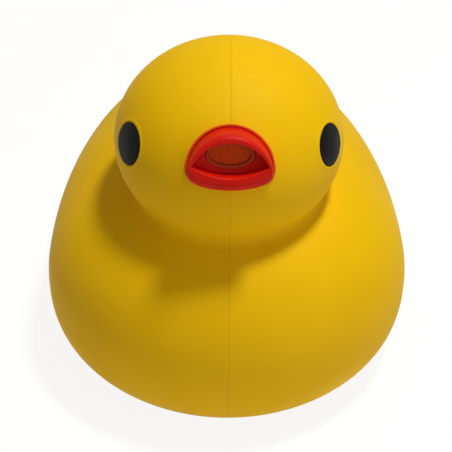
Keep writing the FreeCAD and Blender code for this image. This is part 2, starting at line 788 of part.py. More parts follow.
dial = new_body("Dial")
revolve(dial, "DialPlate", [
    ("pivotRadius + pivotGap", dial_bottom),
    ("pivotHeadRadius + dialRimGap", dial_bottom),
    ("pivotHeadRadius + dialRimGap", dial_bottom + " - hubDrop"),
    ("hubRadius", dial_bottom + " - hubDrop"),
    ("hubRadius", dial_bottom),
    (dial_radius, dial_bottom),
    (dial_radius, dial_top),
    ("pivotRadius + pivotGap", dial_top),
])
port = fan(new_sketch(dial, "Port", "XY_Plane", dial_top), "windowInner", window_outer, "windowAngle")
around(dial, "Ports", pocket(dial, "OnePort", port, "dialThickness"), "windowCount")

grip = new_sketch(dial, "Grip", "XY_Plane", dial_bottom, turn="180 / windowCount")
spoke(grip, "hubRadius - 1", dial_radius, "gripWidth")
grips = pad(dial, "OneGrip", grip, "hubDrop", backwards=True)
around(dial, "Grips", grips, "2")

stop_pin = rod("StopPin", "stopPinRadius", "dialThickness / 2 + dialGap + stopPinHeight", x=stop_circle)
bind(stop_pin, z=f"{dial_top} - dialThickness / 2")
flow_dial = fuse("flow_dial", dial, stop_pin)

# The stop pin runs in a blind slot, an arc under the cap's floor that ends the dial's turn.
slot_radius = "(stopPinRadius + dialRimGap / 2)"
slot_depth = "stopPinHeight + dialGap"
slot_outer = rod("SlotOuter", f"{stop_circle} + {slot_radius}", slot_depth, z=f"{floor_bottom} - dialGap")
slot_inner = rod("SlotInner", f"{stop_circle} - {slot_radius}", slot_depth, z=f"{floor_bottom} - dialGap")
bind(slot_outer, Angle="dialTravel")
slot_start = rod("SlotStart", slot_radius, slot_depth, x=stop_circle, z=f"{floor_bottom} - dialGap")
slot_end = rod("SlotEnd", slot_radius, slot_depth, z=f"{floor_bottom} - dialGap")
bind(slot_end, x=f"{stop_circle} * cos(dialTravel)", y=f"{stop_circle} * sin(dialTravel)")
slot = fuse("StopSlot", cut("SlotArc", slot_outer, slot_inner), slot_start, slot_end)
base_cap = cut("base_cap", cap, slot)

# ---- pivot: a screw up through the dial and cap, with a washer and a nut inside

pivot_screw = new_body("pivot_screw")
revolve(pivot_screw, "PivotTurned", [
    ("0", f"{head_top} - pivotHeadHeight"),
    ("pivotHeadRadius", f"{head_top} - pivotHeadHeight"),
    ("pivotHeadRadius", head_top),
    ("pivotRadius", head_top),
    ("pivotRadius", f"{boss_top} + washerThickness + nutHeight"),
    ("0", f"{boss_top} + washerThickness + nutHeight"),
])
pivot_washer = new_body("pivot_washer")
revolve(pivot_washer, "WasherRing", [
    ("pivotRadius + pivotGap", boss_top),
    ("washerRadius", boss_top),
    ("washerRadius", f"{boss_top} + washerThickness"),
    ("pivotRadius + pivotGap", f"{boss_top} + washerThickness"),
])
nut_bar = doc.addObject("Part::Prism", "NutBar")
nut_bar.Polygon = 6
bind(nut_bar, Circumradius="nutRadius", Height="nutHeight", z=f"{boss_top} + washerThickness")
nut_bore = rod("NutBore", "pivotRadius", "nutHeight", z=f"{boss_top} + washerThickness")
pivot_nut = cut("pivot_nut", nut_bar, nut_bore)

# ---- check every object, then write one file per node

nodes = {
    "float_shell_left": float_shell_left,
    "float_shell_right": float_shell_right,
    "base_pan": base_pan,
    "bill": bill,
    "throat_bush": throat_bush,
    "vent_disc": vent_disc,
    "vent_tube": vent_tube,
    "tube_clips": tube_clips,
    "eye_left": eye_left,
    "eye_right": eye_right,
    "tablet_chamber": tablet_chamber,
    "chamber_gasket": chamber_gasket,
    "flange_screws": flange_screws,
    "cap_gasket": cap_gasket,
    "base_cap": base_cap,
    "flow_dial": flow_dial,
    "pivot_screw": pivot_screw,
    "pivot_washer": pivot_washer,
    "pivot_nut": pivot_nut,
}
doc.recompute()
for thing in doc.Objects:
    if "Invalid" in thing.State or "Error" in thing.State:
        raise RuntimeError(f"{thing.Name} did not build: {thing.State}")
os.makedirs("parts", exist_ok=True)
for name, thing in nodes.items():
    thing.Label = name
    shape = thing.Shape
    if shape.isNull() or not shape.isValid() or not shape.Solids:
        raise RuntimeError(f"{name} has no sound solid")
    shape.exportStep(f"parts/{name}.step")
    print(f"{name}: {len(shape.Solids)} solid, {shape.Volume / 1000:.1f} cm3")
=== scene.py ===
import json
import math

import bmesh
import bpy
import numpy as np
from mathutils import Matrix, Vector


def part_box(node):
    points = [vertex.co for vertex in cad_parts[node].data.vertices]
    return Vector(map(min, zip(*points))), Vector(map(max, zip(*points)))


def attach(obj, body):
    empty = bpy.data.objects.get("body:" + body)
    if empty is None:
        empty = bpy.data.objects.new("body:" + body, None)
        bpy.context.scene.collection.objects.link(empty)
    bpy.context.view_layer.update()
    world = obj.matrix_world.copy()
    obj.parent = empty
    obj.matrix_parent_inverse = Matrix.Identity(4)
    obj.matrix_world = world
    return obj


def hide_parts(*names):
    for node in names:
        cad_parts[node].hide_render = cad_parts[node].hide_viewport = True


# A duck float for chlorine tablets. Metres; it looks along -Y and stands on Z = 0.

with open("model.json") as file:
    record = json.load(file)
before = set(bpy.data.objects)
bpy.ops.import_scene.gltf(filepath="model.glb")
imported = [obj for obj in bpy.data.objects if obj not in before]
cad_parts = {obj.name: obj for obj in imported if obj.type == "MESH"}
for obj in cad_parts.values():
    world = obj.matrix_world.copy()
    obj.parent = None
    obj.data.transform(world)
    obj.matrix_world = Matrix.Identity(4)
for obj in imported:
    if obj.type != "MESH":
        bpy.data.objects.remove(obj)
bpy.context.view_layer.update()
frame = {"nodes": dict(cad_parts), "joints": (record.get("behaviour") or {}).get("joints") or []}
nodes = frame["nodes"]
print("frame loaded")


# Small helpers for points and meshes


def unit(vectors):
    return vectors / np.linalg.norm(vectors, axis=-1, keepdims=True)


def meshObject(name, points, faces, smooth=True):
    mesh = bpy.data.meshes.new(name)
    mesh.from_pydata([tuple(p) for p in points], [], [tuple(f) for f in faces])
    mesh.update()
    mesh.shade_smooth() if smooth else mesh.shade_flat()
    thing = bpy.data.objects.new(name, mesh)
    bpy.context.scene.collection.objects.link(thing)
    return thing


def ringFaces(rows, count, closed=False):
    # quads between rows of points, each row a closed ring
    faces = []
    for row in range(rows if closed else rows - 1):
        low, high = row * count, (row + 1) % rows * count
        for step in range(count):
            after = (step + 1) % count
            faces.append((low + step, low + after, high + after, high + step))
    return faces


def tidyNormals(thing):
    work = bmesh.new()
    work.from_mesh(thing.data)
    bmesh.ops.recalc_face_normals(work, faces=work.faces)
    work.to_mesh(thing.data)
    work.free()
    return thing


def bakeModifiers(thing):
    shown = thing.evaluated_get(bpy.context.evaluated_depsgraph_get())
    final = bpy.data.meshes.new_from_object(shown)
    thing.modifiers.clear()
    thing.data = final
    return thing


def carve(thing, tool, how="DIFFERENCE"):
    boolean = thing.modifiers.new("carve", "BOOLEAN")
    boolean.operation = how
    boolean.solver = "EXACT"
    boolean.object = tool
    bakeModifiers(thing)
    bpy.data.objects.remove(tool)
    return thing


def mirrored(thing, name):
    points = np.array([v.co[:] for v in thing.data.vertices]) * (-1, 1, 1)
    faces = [tuple(reversed(p.vertices[:])) for p in thing.data.polygons]
    twin = meshObject(name, points, faces)
    for material in thing.data.materials:
        twin.data.materials.append(material)
    return twin


# The duck's outer form: body, head and tail that flow into each other

duck = {
    "halfWidth": 0.100,
    "frontReach": 0.090,
    "rearReach": 0.172,
    "widestY": -0.041,
    "waistHeight": 0.043,
    "bellyDrop": 0.061,
    "backRise": 0.078,
    "fullness": 2.28,
    "headCentre": (0, -0.046, 0.1425),
    "headHalves": (0.0582, 0.0548, 0.0502),
    "tailCentre": (0, 0.088, 0.065),
    "tailHalves": (0.033, 0.047, 0.018),
    "tailTilt": 32,
    "neckBlend": 0.006,
    "tailBlend": 0.008,
}
tilt = math.radians(duck["tailTilt"])
headOval = {
    "centre": np.array(duck["headCentre"]),
    "halves": np.array(duck["headHalves"]),
    "axes": np.eye(3),
}
tailOval = {
    "centre": np.array(duck["tailCentre"]),
    "halves": np.array(duck["tailHalves"]),
    "axes": np.array(
        [[1, 0, 0], [0, math.cos(tilt), math.sin(tilt)], [0, -math.sin(tilt), math.cos(tilt)]]
    ).T,
}


def ovalSkin(points, oval):
    # how far points are outside an oval, and which way is out
    local = (points - oval["centre"]) @ oval["axes"]
    level = np.linalg.norm(local / oval["halves"], axis=1)
    slope = local / oval["halves"] ** 2 / level[:, None]
    steep = np.linalg.norm(slope, axis=1)
    return (level - 1) / steep, (slope / steep[:, None]) @ oval["axes"].T


def bodySkin(points):
    power = duck["fullness"]
    x, y, z = points.T
    y = y - duck["widestY"]
    z = z - duck["waistHeight"]
    reach = np.where(y < 0, duck["frontReach"], duck["rearReach"])
    rise = np.where(z < 0, duck["bellyDrop"], duck["backRise"])
    flat = np.sqrt((x / duck["halfWidth"]) ** 2 + (y / reach) ** 2) + 1e-9
    lift = np.abs(z) / rise + 1e-9
    level = (flat**power + lift**power) ** (1 / power)
    alongFlat = (flat / level) ** (power - 1) / flat
    alongLift = (lift / level) ** (power - 1) * np.sign(z) / rise
    slope = np.stack(
        [alongFlat * x / duck["halfWidth"] ** 2, alongFlat * y / reach**2, alongLift], axis=1
    )
    steep = np.linalg.norm(slope, axis=1)
    return (level - 1) / steep, slope / steep[:, None]


def flowTogether(first, second, reach):
    share = np.clip(0.5 + 0.5 * (second[0] - first[0]) / reach, 0, 1)
    away = second[0] + (first[0] - second[0]) * share - reach * share * (1 - share)
    return away, unit(second[1] + (first[1] - second[1]) * share[:, None])


def duckSkin(points):
    upper = flowTogether(bodySkin(points), ovalSkin(points, headOval), duck["neckBlend"])
    return flowTogether(upper, ovalSkin(points, tailOval), duck["tailBlend"])


def ontoSkin(points, rounds=6):
    for step in range(rounds):
        away, out = duckSkin(points)
        points = points - away[:, None] * out
    return points


# Eyes: thin caps let into the head

eye = {
    "azimuth": 64.6,
    "elevation": 14.6,
    "radius": 0.0106,
    "proud": 0.0002,
    "thickness": 0.0011,
    "edgeRound": 0.0004,
    "recessGap": 0.0001,
    "recessDepth": 0.0012,
    "rimRise": 0.0003,
    "rimRadius": 0.0116,
    "rimWidth": 0.0006,
}
around, up = math.radians(eye["azimuth"]), math.radians(eye["elevation"])
eyeAxis = np.array(
    [math.sin(around) * math.cos(up), -math.cos(around) * math.cos(up), math.sin(up)]
)
eyeSide = unit(np.cross((0, 0, 1), eyeAxis))
eyeRise = np.cross(eyeAxis, eyeSide)


def castOnHead(starts, direction, grow):
    # where lines from the starts along a direction leave the grown head
    halves = headOval["halves"] + grow
    s = (starts - headOval["centre"]) / halves
    d = np.asarray(direction) / halves
    a, b, c = d @ d, s @ d, (s * s).sum(axis=1) - 1
    return (-b + np.sqrt(np.maximum(b * b - a * c, 0))) / a


def eyePlug(name, rings, backGrow, steps=96):
    # a closed disc that follows the head; each ring is (radius, growth of the head)
    points = []
    path = list(rings) + [(radius, backGrow) for radius in (rings[-1][0], rings[-1][0] * 0.5)]
    for radius, grow in path:
        turn = np.linspace(0, 2 * math.pi, steps, endpoint=False)
        starts = headOval["centre"] + radius * (
            np.cos(turn)[:, None] * eyeSide + np.sin(turn)[:, None] * eyeRise
        )
        points.append(starts + castOnHead(starts, eyeAxis, grow)[:, None] * eyeAxis)
    grid = np.concatenate(points)
    faces = ringFaces(len(path), steps)
    ends = []
    for grow in (rings[0][1], backGrow):
        start = headOval["centre"][None, :]
        ends.append((start + castOnHead(start, eyeAxis, grow)[:, None] * eyeAxis)[0])
    last = (len(path) - 1) * steps
    for step in range(steps):
        after = (step + 1) % steps
        faces.append((len(grid), after, step))
        faces.append((len(grid) + 1, last + step, last + after))
    return tidyNormals(meshObject(name, np.vstack([grid, ends]), faces))


def eyeRings():
    radius, proud, edge = eye["radius"], eye["proud"], eye["edgeRound"]
    rings = [(radius * share, proud) for share in (0.15, 0.3, 0.45, 0.6, 0.72, 0.83, 0.91)]
    for turn in (0, 25, 50, 75, 90):
        angle = math.radians(turn)
        rings.append(
            (radius - edge * (1 - math.sin(angle)), proud - edge * (1 - math.cos(angle)))
        )
    return rings


eyeLeft = eyePlug("eyeLeft", eyeRings(), eye["proud"] - eye["thickness"])
eyeRight = mirrored(eyeLeft, "eyeRight")
print("eyes made")


# Bill: rolled lips with an open mouth, and a neck that the shells clamp

bill = {
    "elevation": 28,
    "tilt": 22,
    "halfWidth": 0.0214,
    "up": 0.0170,
    "down": 0.0138,
    "widest": 0.005,
    "reach": 0.009,
    "mouthHalfWidth": 0.0178,
    "mouthUp": 0.0112,
    "mouthDown": 0.0052,
    "mouthDepth": 0.008,
    "throatHalfWidth": 0.0114,
    "throatHalfHeight": 0.0064,
    "throatRise": 0.0037,
    "neckWall": 0.003,
    "neckLength": 0.011,
    "retainer": 0.003,
    "shellWall": 0.003,
    "seatGap": 0.0001,
    "bead": 0.0011,
    "groove": 0.0004,
    "upperRound": 0.0040,
    "lowerRound": 0.0040,
    "cornerRound": 0.0020,
    "mouthRound": 0.0008,
    "floorRound": 0.0012,
    "footInset": 0.0003,
    "leastClamp": 0.0008,
    "grooveFloor": 0.4,
    "lean": 0.02,
    "crownShare": 0.55,
    "crownUp": 0.15,
    "crownDown": 0.2,
    "throatEdge": 0.0005,
    "steps": 240,
}
faceTurn = math.radians(bill["elevation"])
billTurn = math.radians(bill["tilt"])
billPoint = headOval["centre"] + np.array(
    [0, -duck["headHalves"][1] * math.cos(faceTurn), duck["headHalves"][2] * math.sin(faceTurn)]
)
billOut = np.array([0, -math.cos(billTurn), math.sin(billTurn)])
billRise = np.array([0, math.sin(billTurn), math.cos(billTurn)])
billSide = np.array([1.0, 0, 0])


def atBill(side, rise, out):
    return (
        billPoint
        + np.multiply.outer(side, billSide)
        + np.multiply.outer(rise, billRise)
        + np.multiply.outer(out, billOut)
    )


def headUnder(side, rise, grow):
    # how far out along the bill's axis the grown head lies under a point of the bill
    starts = atBill(side, rise, np.zeros_like(side))
    return castOnHead(starts, billOut, grow)


def billOutline(less):
    # an oval that is widest a little below the bill's axis; its first point is level with the axis
    above = bill["up"] + bill["widest"] - less
    below = bill["down"] - bill["widest"] - less
    start = math.asin(bill["widest"] / above)
    half = bill["steps"] // 2
    turn = np.concatenate(
        [
            np.linspace(start, math.pi - start, half, endpoint=False),
            np.linspace(math.pi - start, 2 * math.pi + start, half, endpoint=False),
        ]
    )
    reach = np.where(np.sin(turn) >= 0, above, below)
    return (bill["halfWidth"] - less) * np.cos(turn), reach * np.sin(turn) - bill["widest"]


def mouthOutline(grow=0.0):
    # two arcs that meet in the corners of the mouth
    turn = np.linspace(0, 2 * math.pi, bill["steps"], endpoint=False)
    wide = bill["mouthHalfWidth"] + grow
    side = wide * np.cos(turn)
    rise = np.zeros_like(side)
    for reach, sign in ((bill["mouthUp"] + grow, 1), (bill["mouthDown"] + grow, -1)):
        radius = (wide**2 + reach**2) / (2 * reach)
        arc = np.sqrt(np.maximum(radius**2 - side**2, 0)) - (radius - reach)
        rise = np.where(np.sin(turn) * sign > 1e-9, sign * arc, rise)
    return side, rise


def throatOutline(grow):
    turn = np.linspace(0, 2 * math.pi, bill["steps"], endpoint=False)
    side = (bill["throatHalfWidth"] + grow) * np.cos(turn)
    return side, bill["throatRise"] + (bill["throatHalfHeight"] + grow) * np.sin(turn)


def between(first, second, share):
    return [a + (b - a) * share for a, b in zip(first, second)]


def makeBill():
    rows = []
    turn = np.linspace(0, 2 * math.pi, bill["steps"], endpoint=False)
    upper = np.clip(np.sin(turn), 0, 1) ** 0.5
    lower = np.clip(-np.sin(turn), 0, 1) ** 0.5
    inside = -(bill["shellWall"] + bill["seatGap"])
    top = bill["reach"]

    def add(outline, out):
        rows.append(atBill(outline[0], outline[1], out + np.zeros(bill["steps"])))
        return len(rows) - 1

    # the neck: its clamping flange inside the shell, and out to the seat on the head
    add(throatOutline(0), -bill["neckLength"])
    clamp = throatOutline(bill["neckWall"] + bill["retainer"])
    add(clamp, -bill["neckLength"])
    add(clamp, np.maximum(headUnder(*clamp, inside), bill["leastClamp"] - bill["neckLength"]))
    hub = throatOutline(bill["neckWall"])
    add(hub, headUnder(*hub, inside))
    add(hub, headUnder(*hub, bill["seatGap"]))
    # the seat, and a thin bead that runs round the foot of the lips
    foot = billOutline(bill["footInset"])
    add(between(hub, foot, 0.5), headUnder(*between(hub, foot, 0.5), bill["seatGap"]))
    add(foot, headUnder(*foot, bill["seatGap"]))
    bead, ground = bill["bead"], headUnder(*billOutline(bill["bead"] / 2), 0)
    beadRows = []
    for angle in (-35, 0, 30, 60, 90, 120, 150):
        lift = bead * 0.5 * (1 + math.sin(math.radians(angle)))
        rim = billOutline(bead * 0.5 * (1 - math.cos(math.radians(angle))))
        beadRows.append(add(rim, ground + lift))
    start = billOutline(bead + bill["groove"])
    low = ground + bead * bill["grooveFloor"]
    add(start, low)
    # up the wall of the lips, over their rounded crest, and into the mouth
    edge = mouthOutline(bill["mouthRound"])
    crown = bill["crownShare"] + bill["crownUp"] * upper + bill["crownDown"] * lower
    height = bill["cornerRound"] + (bill["upperRound"] - bill["cornerRound"]) * upper
    height = height + (bill["lowerRound"] - bill["cornerRound"]) * lower
    lean = bill["lean"]
    for share in (0.15, 0.5, 0.85):
        add(between(start, edge, lean * share), low + (top - height - low) * share)
    for angle in range(0, 91, 9):
        across = lean + crown * (1 - math.cos(math.radians(angle)))
        add(between(start, edge, across), top - height * (1 - math.sin(math.radians(angle))))
    for share in (0.35, 0.7):
        across = lean + crown + (1 - lean - crown) * share
        add(between(start, edge, across), top)
    for angle in (0, 22, 45, 68, 90):
        inward = math.radians(angle)
        spot = mouthOutline(bill["mouthRound"] * (1 - math.sin(inward)))
        add(spot, top - bill["mouthRound"] * (1 - math.cos(inward)))
    # down the mouth's wall, over its floor, and back along the throat
    floor = top - bill["mouthDepth"]
    drop = top - bill["mouthRound"]
    for share in (0.5, 1.0):
        add(mouthOutline(), drop + (floor + bill["floorRound"] - drop) * share)
    for angle in (30, 60, 90):
        inward = bill["floorRound"] * (1 - math.cos(math.radians(angle)))
        out = floor + bill["floorRound"] * (1 - math.sin(math.radians(angle)))
        add(mouthOutline(-inward), out)
    brim = mouthOutline(-bill["floorRound"])
    for share in (0.5, 1.0):
        add(between(brim, throatOutline(bill["throatEdge"]), share), floor)
    add(throatOutline(bill["throatEdge"] * 0.3), floor - bill["throatEdge"] * 0.3)
    add(throatOutline(0), floor - bill["throatEdge"])
    points = np.concatenate(rows)
    thing = meshObject("bill", points, ringFaces(len(rows), bill["steps"], closed=True))
    first, last = beadRows[0] * bill["steps"], beadRows[-1] * bill["steps"]
    return tidyNormals(thing), range(first, last)


billPiece, beadFaces = makeBill()
print("bill made")


# Shells: the skin of the duck, thickened inward and parted at the seam

shell = {
    "grid": 96,
    "heart": (0, -0.040, 0.090),
    "wall": 0.003,
    "baseHeight": 0.003,
    "seamDepth": 0.00012,
    "seamWidth": 0.0011,
    "baseEdge": 0.0006,
    "settle": 14,
    "billGap": 0.0002,
    "baseEase": 0.0002,
    "seamRow": 0.35,
}


def cubeGrid(count):
    # unit directions over the six sides of a cube, evenly spaced, and the quads between them
    steps = np.tan(np.linspace(-math.pi / 4, math.pi / 4, count + 1))
    steps[count // 2] = 0
    across, down = np.meshgrid(steps, steps, indexing="ij")
    flat = np.ones_like(across)
    points = []
    faces = []
    for axis in range(3):
        for sign in (-1, 1):
            parts = [across, down]
            parts.insert(axis, flat * sign)
            start = len(points) * (count + 1) ** 2
            points.append(np.stack([p.ravel() for p in parts], axis=1))
            index = start + np.arange((count + 1) ** 2).reshape(count + 1, count + 1)
            quads = np.stack(
                [index[:-1, :-1], index[1:, :-1], index[1:, 1:], index[:-1, 1:]], axis=-1
            ).reshape(-1, 4)
            faces.append(quads[:, ::-1] if sign * (-1) ** axis < 0 else quads)
    points = unit(np.concatenate(points))
    kept, where = np.unique(np.round(points, 6), axis=0, return_inverse=True)
    return unit(kept), where.ravel()[np.concatenate(faces)]


def castOut(directions):
    heart = np.array(shell["heart"])
    near = np.zeros(len(directions))
    far = np.full(len(directions), 0.25)
    for step in range(28):
        middle = (near + far) / 2
        inside = duckSkin(heart + middle[:, None] * directions)[0] < 0
        near = np.where(inside, middle, near)
        far = np.where(inside, far, middle)
    return heart + near[:, None] * directions


def settle(points, quads, rounds):
    # evens the mesh out over the skin, closer together at the neck's crease
    edges = np.concatenate([quads[:, [k, (k + 1) % 4]] for k in range(4)])
    middle = np.abs(points[:, 0]) < 1e-7
    for step in range(rounds):
        crease = np.abs(bodySkin(points)[0]) + np.abs(ovalSkin(points, headOval)[0])
        pull = 1 + 2 * np.exp(-((crease / 0.006) ** 2))
        total = np.zeros_like(points)
        weight = np.zeros(len(points))
        np.add.at(total, edges[:, 0], points[edges[:, 1]] * pull[edges[:, 1], None])
        np.add.at(weight, edges[:, 0], pull[edges[:, 1]])
        points = points + 0.6 * (total / weight[:, None] - points)
        points[middle, 0] = 0
        points = ontoSkin(points, 2)
    return ontoSkin(points)


def eyeReach(points):
    local = points - headOval["centre"]
    return np.hypot(local @ eyeSide, local @ eyeRise) + np.where(local @ eyeAxis < 0, 1, 0)


def makeShell(name):
    directions, quads = cubeGrid(shell["grid"])
    points = settle(castOut(directions), quads, shell["settle"])
    half = quads[(points[quads, 0] > -1e-7).all(axis=1)]
    used, half = np.unique(half, return_inverse=True)
    points = points[used]
    points[np.abs(points[:, 0]) < 1e-7, 0] = 0
    work = bmesh.new()
    for point in points:
        work.verts.new(point)
    work.verts.ensure_lookup_table()
    for quad in half.reshape(-1, 4):
        work.faces.new([work.verts[k] for k in quad])
    # finer where the eye's rim and the neck's crease are
    for rimReach, creaseReach in ((0.0035, 0.006), (0.0018, 0.003)):
        spots = np.array([v.co[:] for v in work.verts])
        nearRim = np.abs(eyeReach(spots) - eye["rimRadius"]) < rimReach
        crease = np.abs(bodySkin(spots)[0]) + np.abs(ovalSkin(spots, headOval)[0])
        wanted = nearRim | (crease < creaseReach)
        work.verts.ensure_lookup_table()
        work.verts.index_update()
        faces = [f for f in work.faces if any(wanted[v.index] for v in f.verts)]
        edges = list({e for f in faces for e in f.edges})
        bmesh.ops.subdivide_edges(work, edges=edges, cuts=1, use_grid_fill=True)
        spots = ontoSkin(np.array([v.co[:] for v in work.verts]), 3)
        for vertex, spot in zip(work.verts, spots):
            vertex.co = (0 if abs(spot[0]) < 1e-6 else spot[0], spot[1], spot[2])
    floor = shell["baseHeight"]
    for place, normal, clear in (
        ((0, 0, floor), (0, 0, 1), True),
        ((0, 0, floor + shell["baseEdge"]), (0, 0, 1), False),
        ((shell["seamWidth"] * shell["seamRow"], 0, 0), (1, 0, 0), False),
        ((shell["seamWidth"], 0, 0), (1, 0, 0), False),
    ):
        everything = work.verts[:] + work.edges[:] + work.faces[:]
        bmesh.ops.bisect_plane(
            work, geom=everything, dist=1e-6, plane_co=place, plane_no=normal, clear_inner=clear
        )
    bmesh.ops.recalc_face_normals(work, faces=work.faces)
    work.verts.index_update()
    spots = np.array([v.co[:] for v in work.verts])
    atSeam = np.abs(spots[:, 0]) < 2e-6
    atBase = spots[:, 2] < floor + 2e-6
    spots[atSeam, 0] = 0
    spots[atBase, 2] = floor
    out = duckSkin(spots)[1]
    out[atSeam, 0] = 0
    out[atBase, 2] = 0
    out = unit(out)
    back = spots - shell["wall"] * out
    # the rim round the eye stands up, and the edges at the seam and base are eased
    rise = eye["rimRise"] * np.exp(-(((eyeReach(spots) - eye["rimRadius"]) / eye["rimWidth"]) ** 2))
    ease = shell["seamDepth"] * np.clip(1 - spots[:, 0] / shell["seamWidth"], 0, 1) ** 2
    lowEdge = shell["baseEase"] * np.clip(1 - (spots[:, 2] - floor) / shell["baseEdge"], 0, 1)
    front = spots + (rise - ease - lowEdge)[:, None] * out
    faces = [tuple(v.index for v in f.verts) for f in work.faces]
    edges = [e for e in work.edges if len(e.link_faces) == 1]
    shift = len(spots)
    walls = []
    for edge in edges:
        loop = next(l for l in edge.link_loops)
        a, b = loop.vert.index, loop.link_loop_next.vert.index
        walls.append((b, a, a + shift, b + shift))
    inner = [tuple(k + shift for k in reversed(f)) for f in faces]
    work.free()
    thing = meshObject(name, np.vstack([front, back]), faces + inner + walls)
    return tidyNormals(thing)


shellLeft = makeShell("shellLeft")
recess = [(r, 0.004) for r in (0.3 * eye["radius"], eye["radius"] + eye["recessGap"])]
carve(shellLeft, eyePlug("eyeRecess", recess, -eye["recessDepth"], 96))


def neckHole():
    grow = bill["neckWall"] + shell["billGap"]
    side, rise = throatOutline(grow)
    same = np.ones_like(side)
    rows = [atBill(side, rise, out * same) for out in (-0.014, 0.006)]
    count = bill["steps"]
    faces = ringFaces(2, count)
    faces += [tuple(range(count))[::-1], tuple(range(count, 2 * count))]
    return tidyNormals(meshObject("neckHole", np.concatenate(rows), faces))


carve(shellLeft, neckHole())
shellRight = mirrored(shellLeft, "shellRight")
print("shells made:", len(shellLeft.data.polygons), "faces each")


# Underside: drive recesses, threads, flow scale


def lathe(name, profile, centre, steps=64):
    # a closed piece turned round an upright axis; the profile is (radius, height) from axis to axis
    turn = np.linspace(0, 2 * math.pi, steps, endpoint=False)
    rows = []
    for radius, height in profile[1:-1]:
        ring = [radius * np.cos(turn), radius * np.sin(turn), np.full(steps, height)]
        rows.append(np.stack(ring, axis=1))
    ends = [(0, 0, profile[0][1]), (0, 0, profile[-1][1])]
    grid = np.vstack([np.concatenate(rows), ends]) + (centre[0], centre[1], 0)
    faces = ringFaces(len(rows), steps)
    first, last = len(rows) * steps, (len(rows) - 1) * steps
    for step in range(steps):
        after = (step + 1) % steps
        faces.append((first, after, step))
        faces.append((first + 1, last + step, last + after))
    return tidyNormals(meshObject(name, grid, faces, smooth=False))


def boxTool(name, low, high, turn=0.0, centre=(0, 0)):
    # a box to cut with, turned about an upright axis
    corners = []
    for z in (low[2], high[2]):
        for x, y in ((low[0], low[1]), (high[0], low[1]), (high[0], high[1]), (low[0], high[1])):
            ahead = x * math.cos(turn) - y * math.sin(turn) + centre[0]
            aside = x * math.sin(turn) + y * math.cos(turn) + centre[1]
            corners.append((ahead, aside, z))
    faces = [(0, 3, 2, 1), (4, 5, 6, 7), (0, 1, 5, 4), (1, 2, 6, 5), (2, 3, 7, 6), (3, 0, 4, 7)]
    return meshObject(name, corners, faces, smooth=False)


def joined(things, name):
    points, faces = [], []
    for thing in things:
        shift = len(points)
        points += [tuple(v.co) for v in thing.data.vertices]
        faces += [tuple(k + shift for k in p.vertices) for p in thing.data.polygons]
        bpy.data.objects.remove(thing)
    return meshObject(name, points, faces, smooth=False)


def islands(thing):
    # the middle of each loose part of a node, on the ground plane
    parent = list(range(len(thing.data.vertices)))

    def top(k):
        while parent[k] != k:
            parent[k] = parent[parent[k]]
            k = parent[k]
        return k

    spots = {}
    places = [tuple(round(c, 6) for c in v.co) for v in thing.data.vertices]
    for index, place in enumerate(places):
        parent[index] = spots.setdefault(place, index)
    for edge in thing.data.edges:
        a, b = (top(k) for k in edge.vertices)
        parent[a] = b
    found = {}
    for index, place in enumerate(places):
        found.setdefault(top(index), []).append(place)
    boxes = [(np.min(spot, axis=0) + np.max(spot, axis=0)) / 2 for spot in found.values()]
    return sorted((round(math.atan2(b[1], b[0]), 3), b[0], b[1]) for b in boxes)


screwHead = {
    "radius": 0.0035,
    "height": 0.0024,
    "shank": 0.002,
    "crown": 0.0005,
    "driveReach": 0.0021,
    "driveWidth": 0.0007,
    "driveDepth": 0.0013,
    "driveTaper": 0.7,
    "twist": 0.7,
    "tipLength": 0.0012,
    "edge": 0.0001,
}


def crossRecess(low, spot, turn):
    # two crossed slots that narrow a little as they go in
    reach, wide = screwHead["driveReach"], screwHead["driveWidth"] / 2
    far = low + screwHead["driveDepth"]
    arms = []
    for quarter in (0, math.pi / 2):
        arm = boxTool("arm", (-reach, -wide, low - 0.001), (reach, wide, far), turn + quarter, spot)
        for vertex in list(arm.data.vertices)[4:]:
            vertex.co.x = spot[0] + (vertex.co.x - spot[0]) * screwHead["driveTaper"]
            vertex.co.y = spot[1] + (vertex.co.y - spot[1]) * screwHead["driveTaper"]
        arms.append(arm)
    return carve(arms[0], arms[1], "UNION")


def flangeScrew(spot, low, top, turn):
    radius, crown, shank = screwHead["radius"], screwHead["crown"], screwHead["shank"]
    seat, edge = low + screwHead["height"], screwHead["edge"]
    profile = [(0, low), (radius * 0.45, low + crown * 0.03), (radius * 0.7, low + crown * 0.25)]
    profile += [(radius * 0.88, low + crown * 0.8), (radius * 0.97, low + crown * 1.7)]
    profile += [(radius, low + crown * 2.6), (radius, seat - edge), (radius - edge, seat)]
    profile += [(shank, seat), (shank, top - screwHead["tipLength"]), (shank * 0.35, top), (0, top)]
    screw = lathe("screw", profile, spot)
    return carve(screw, crossRecess(low, spot, turn))


low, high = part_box("flange_screws")
screws = []
for number, (angle, x, y) in enumerate(islands(nodes["flange_screws"])):
    screws.append(flangeScrew((x, y), low[2], high[2], angle + screwHead["twist"] * number))
screwPiece = joined(screws, "flangeScrews")
print("flange screws made:", len(screws))

pivot = {
    "crown": 0.0004,
    "slot": 0.0012,
    "slotDepth": 0.0011,
    "slotTurn": 0.5,
    "headHeight": 0.002,
    "shank": 0.003,
    "tipEase": 0.0006,
    "edge": 0.0001,
}


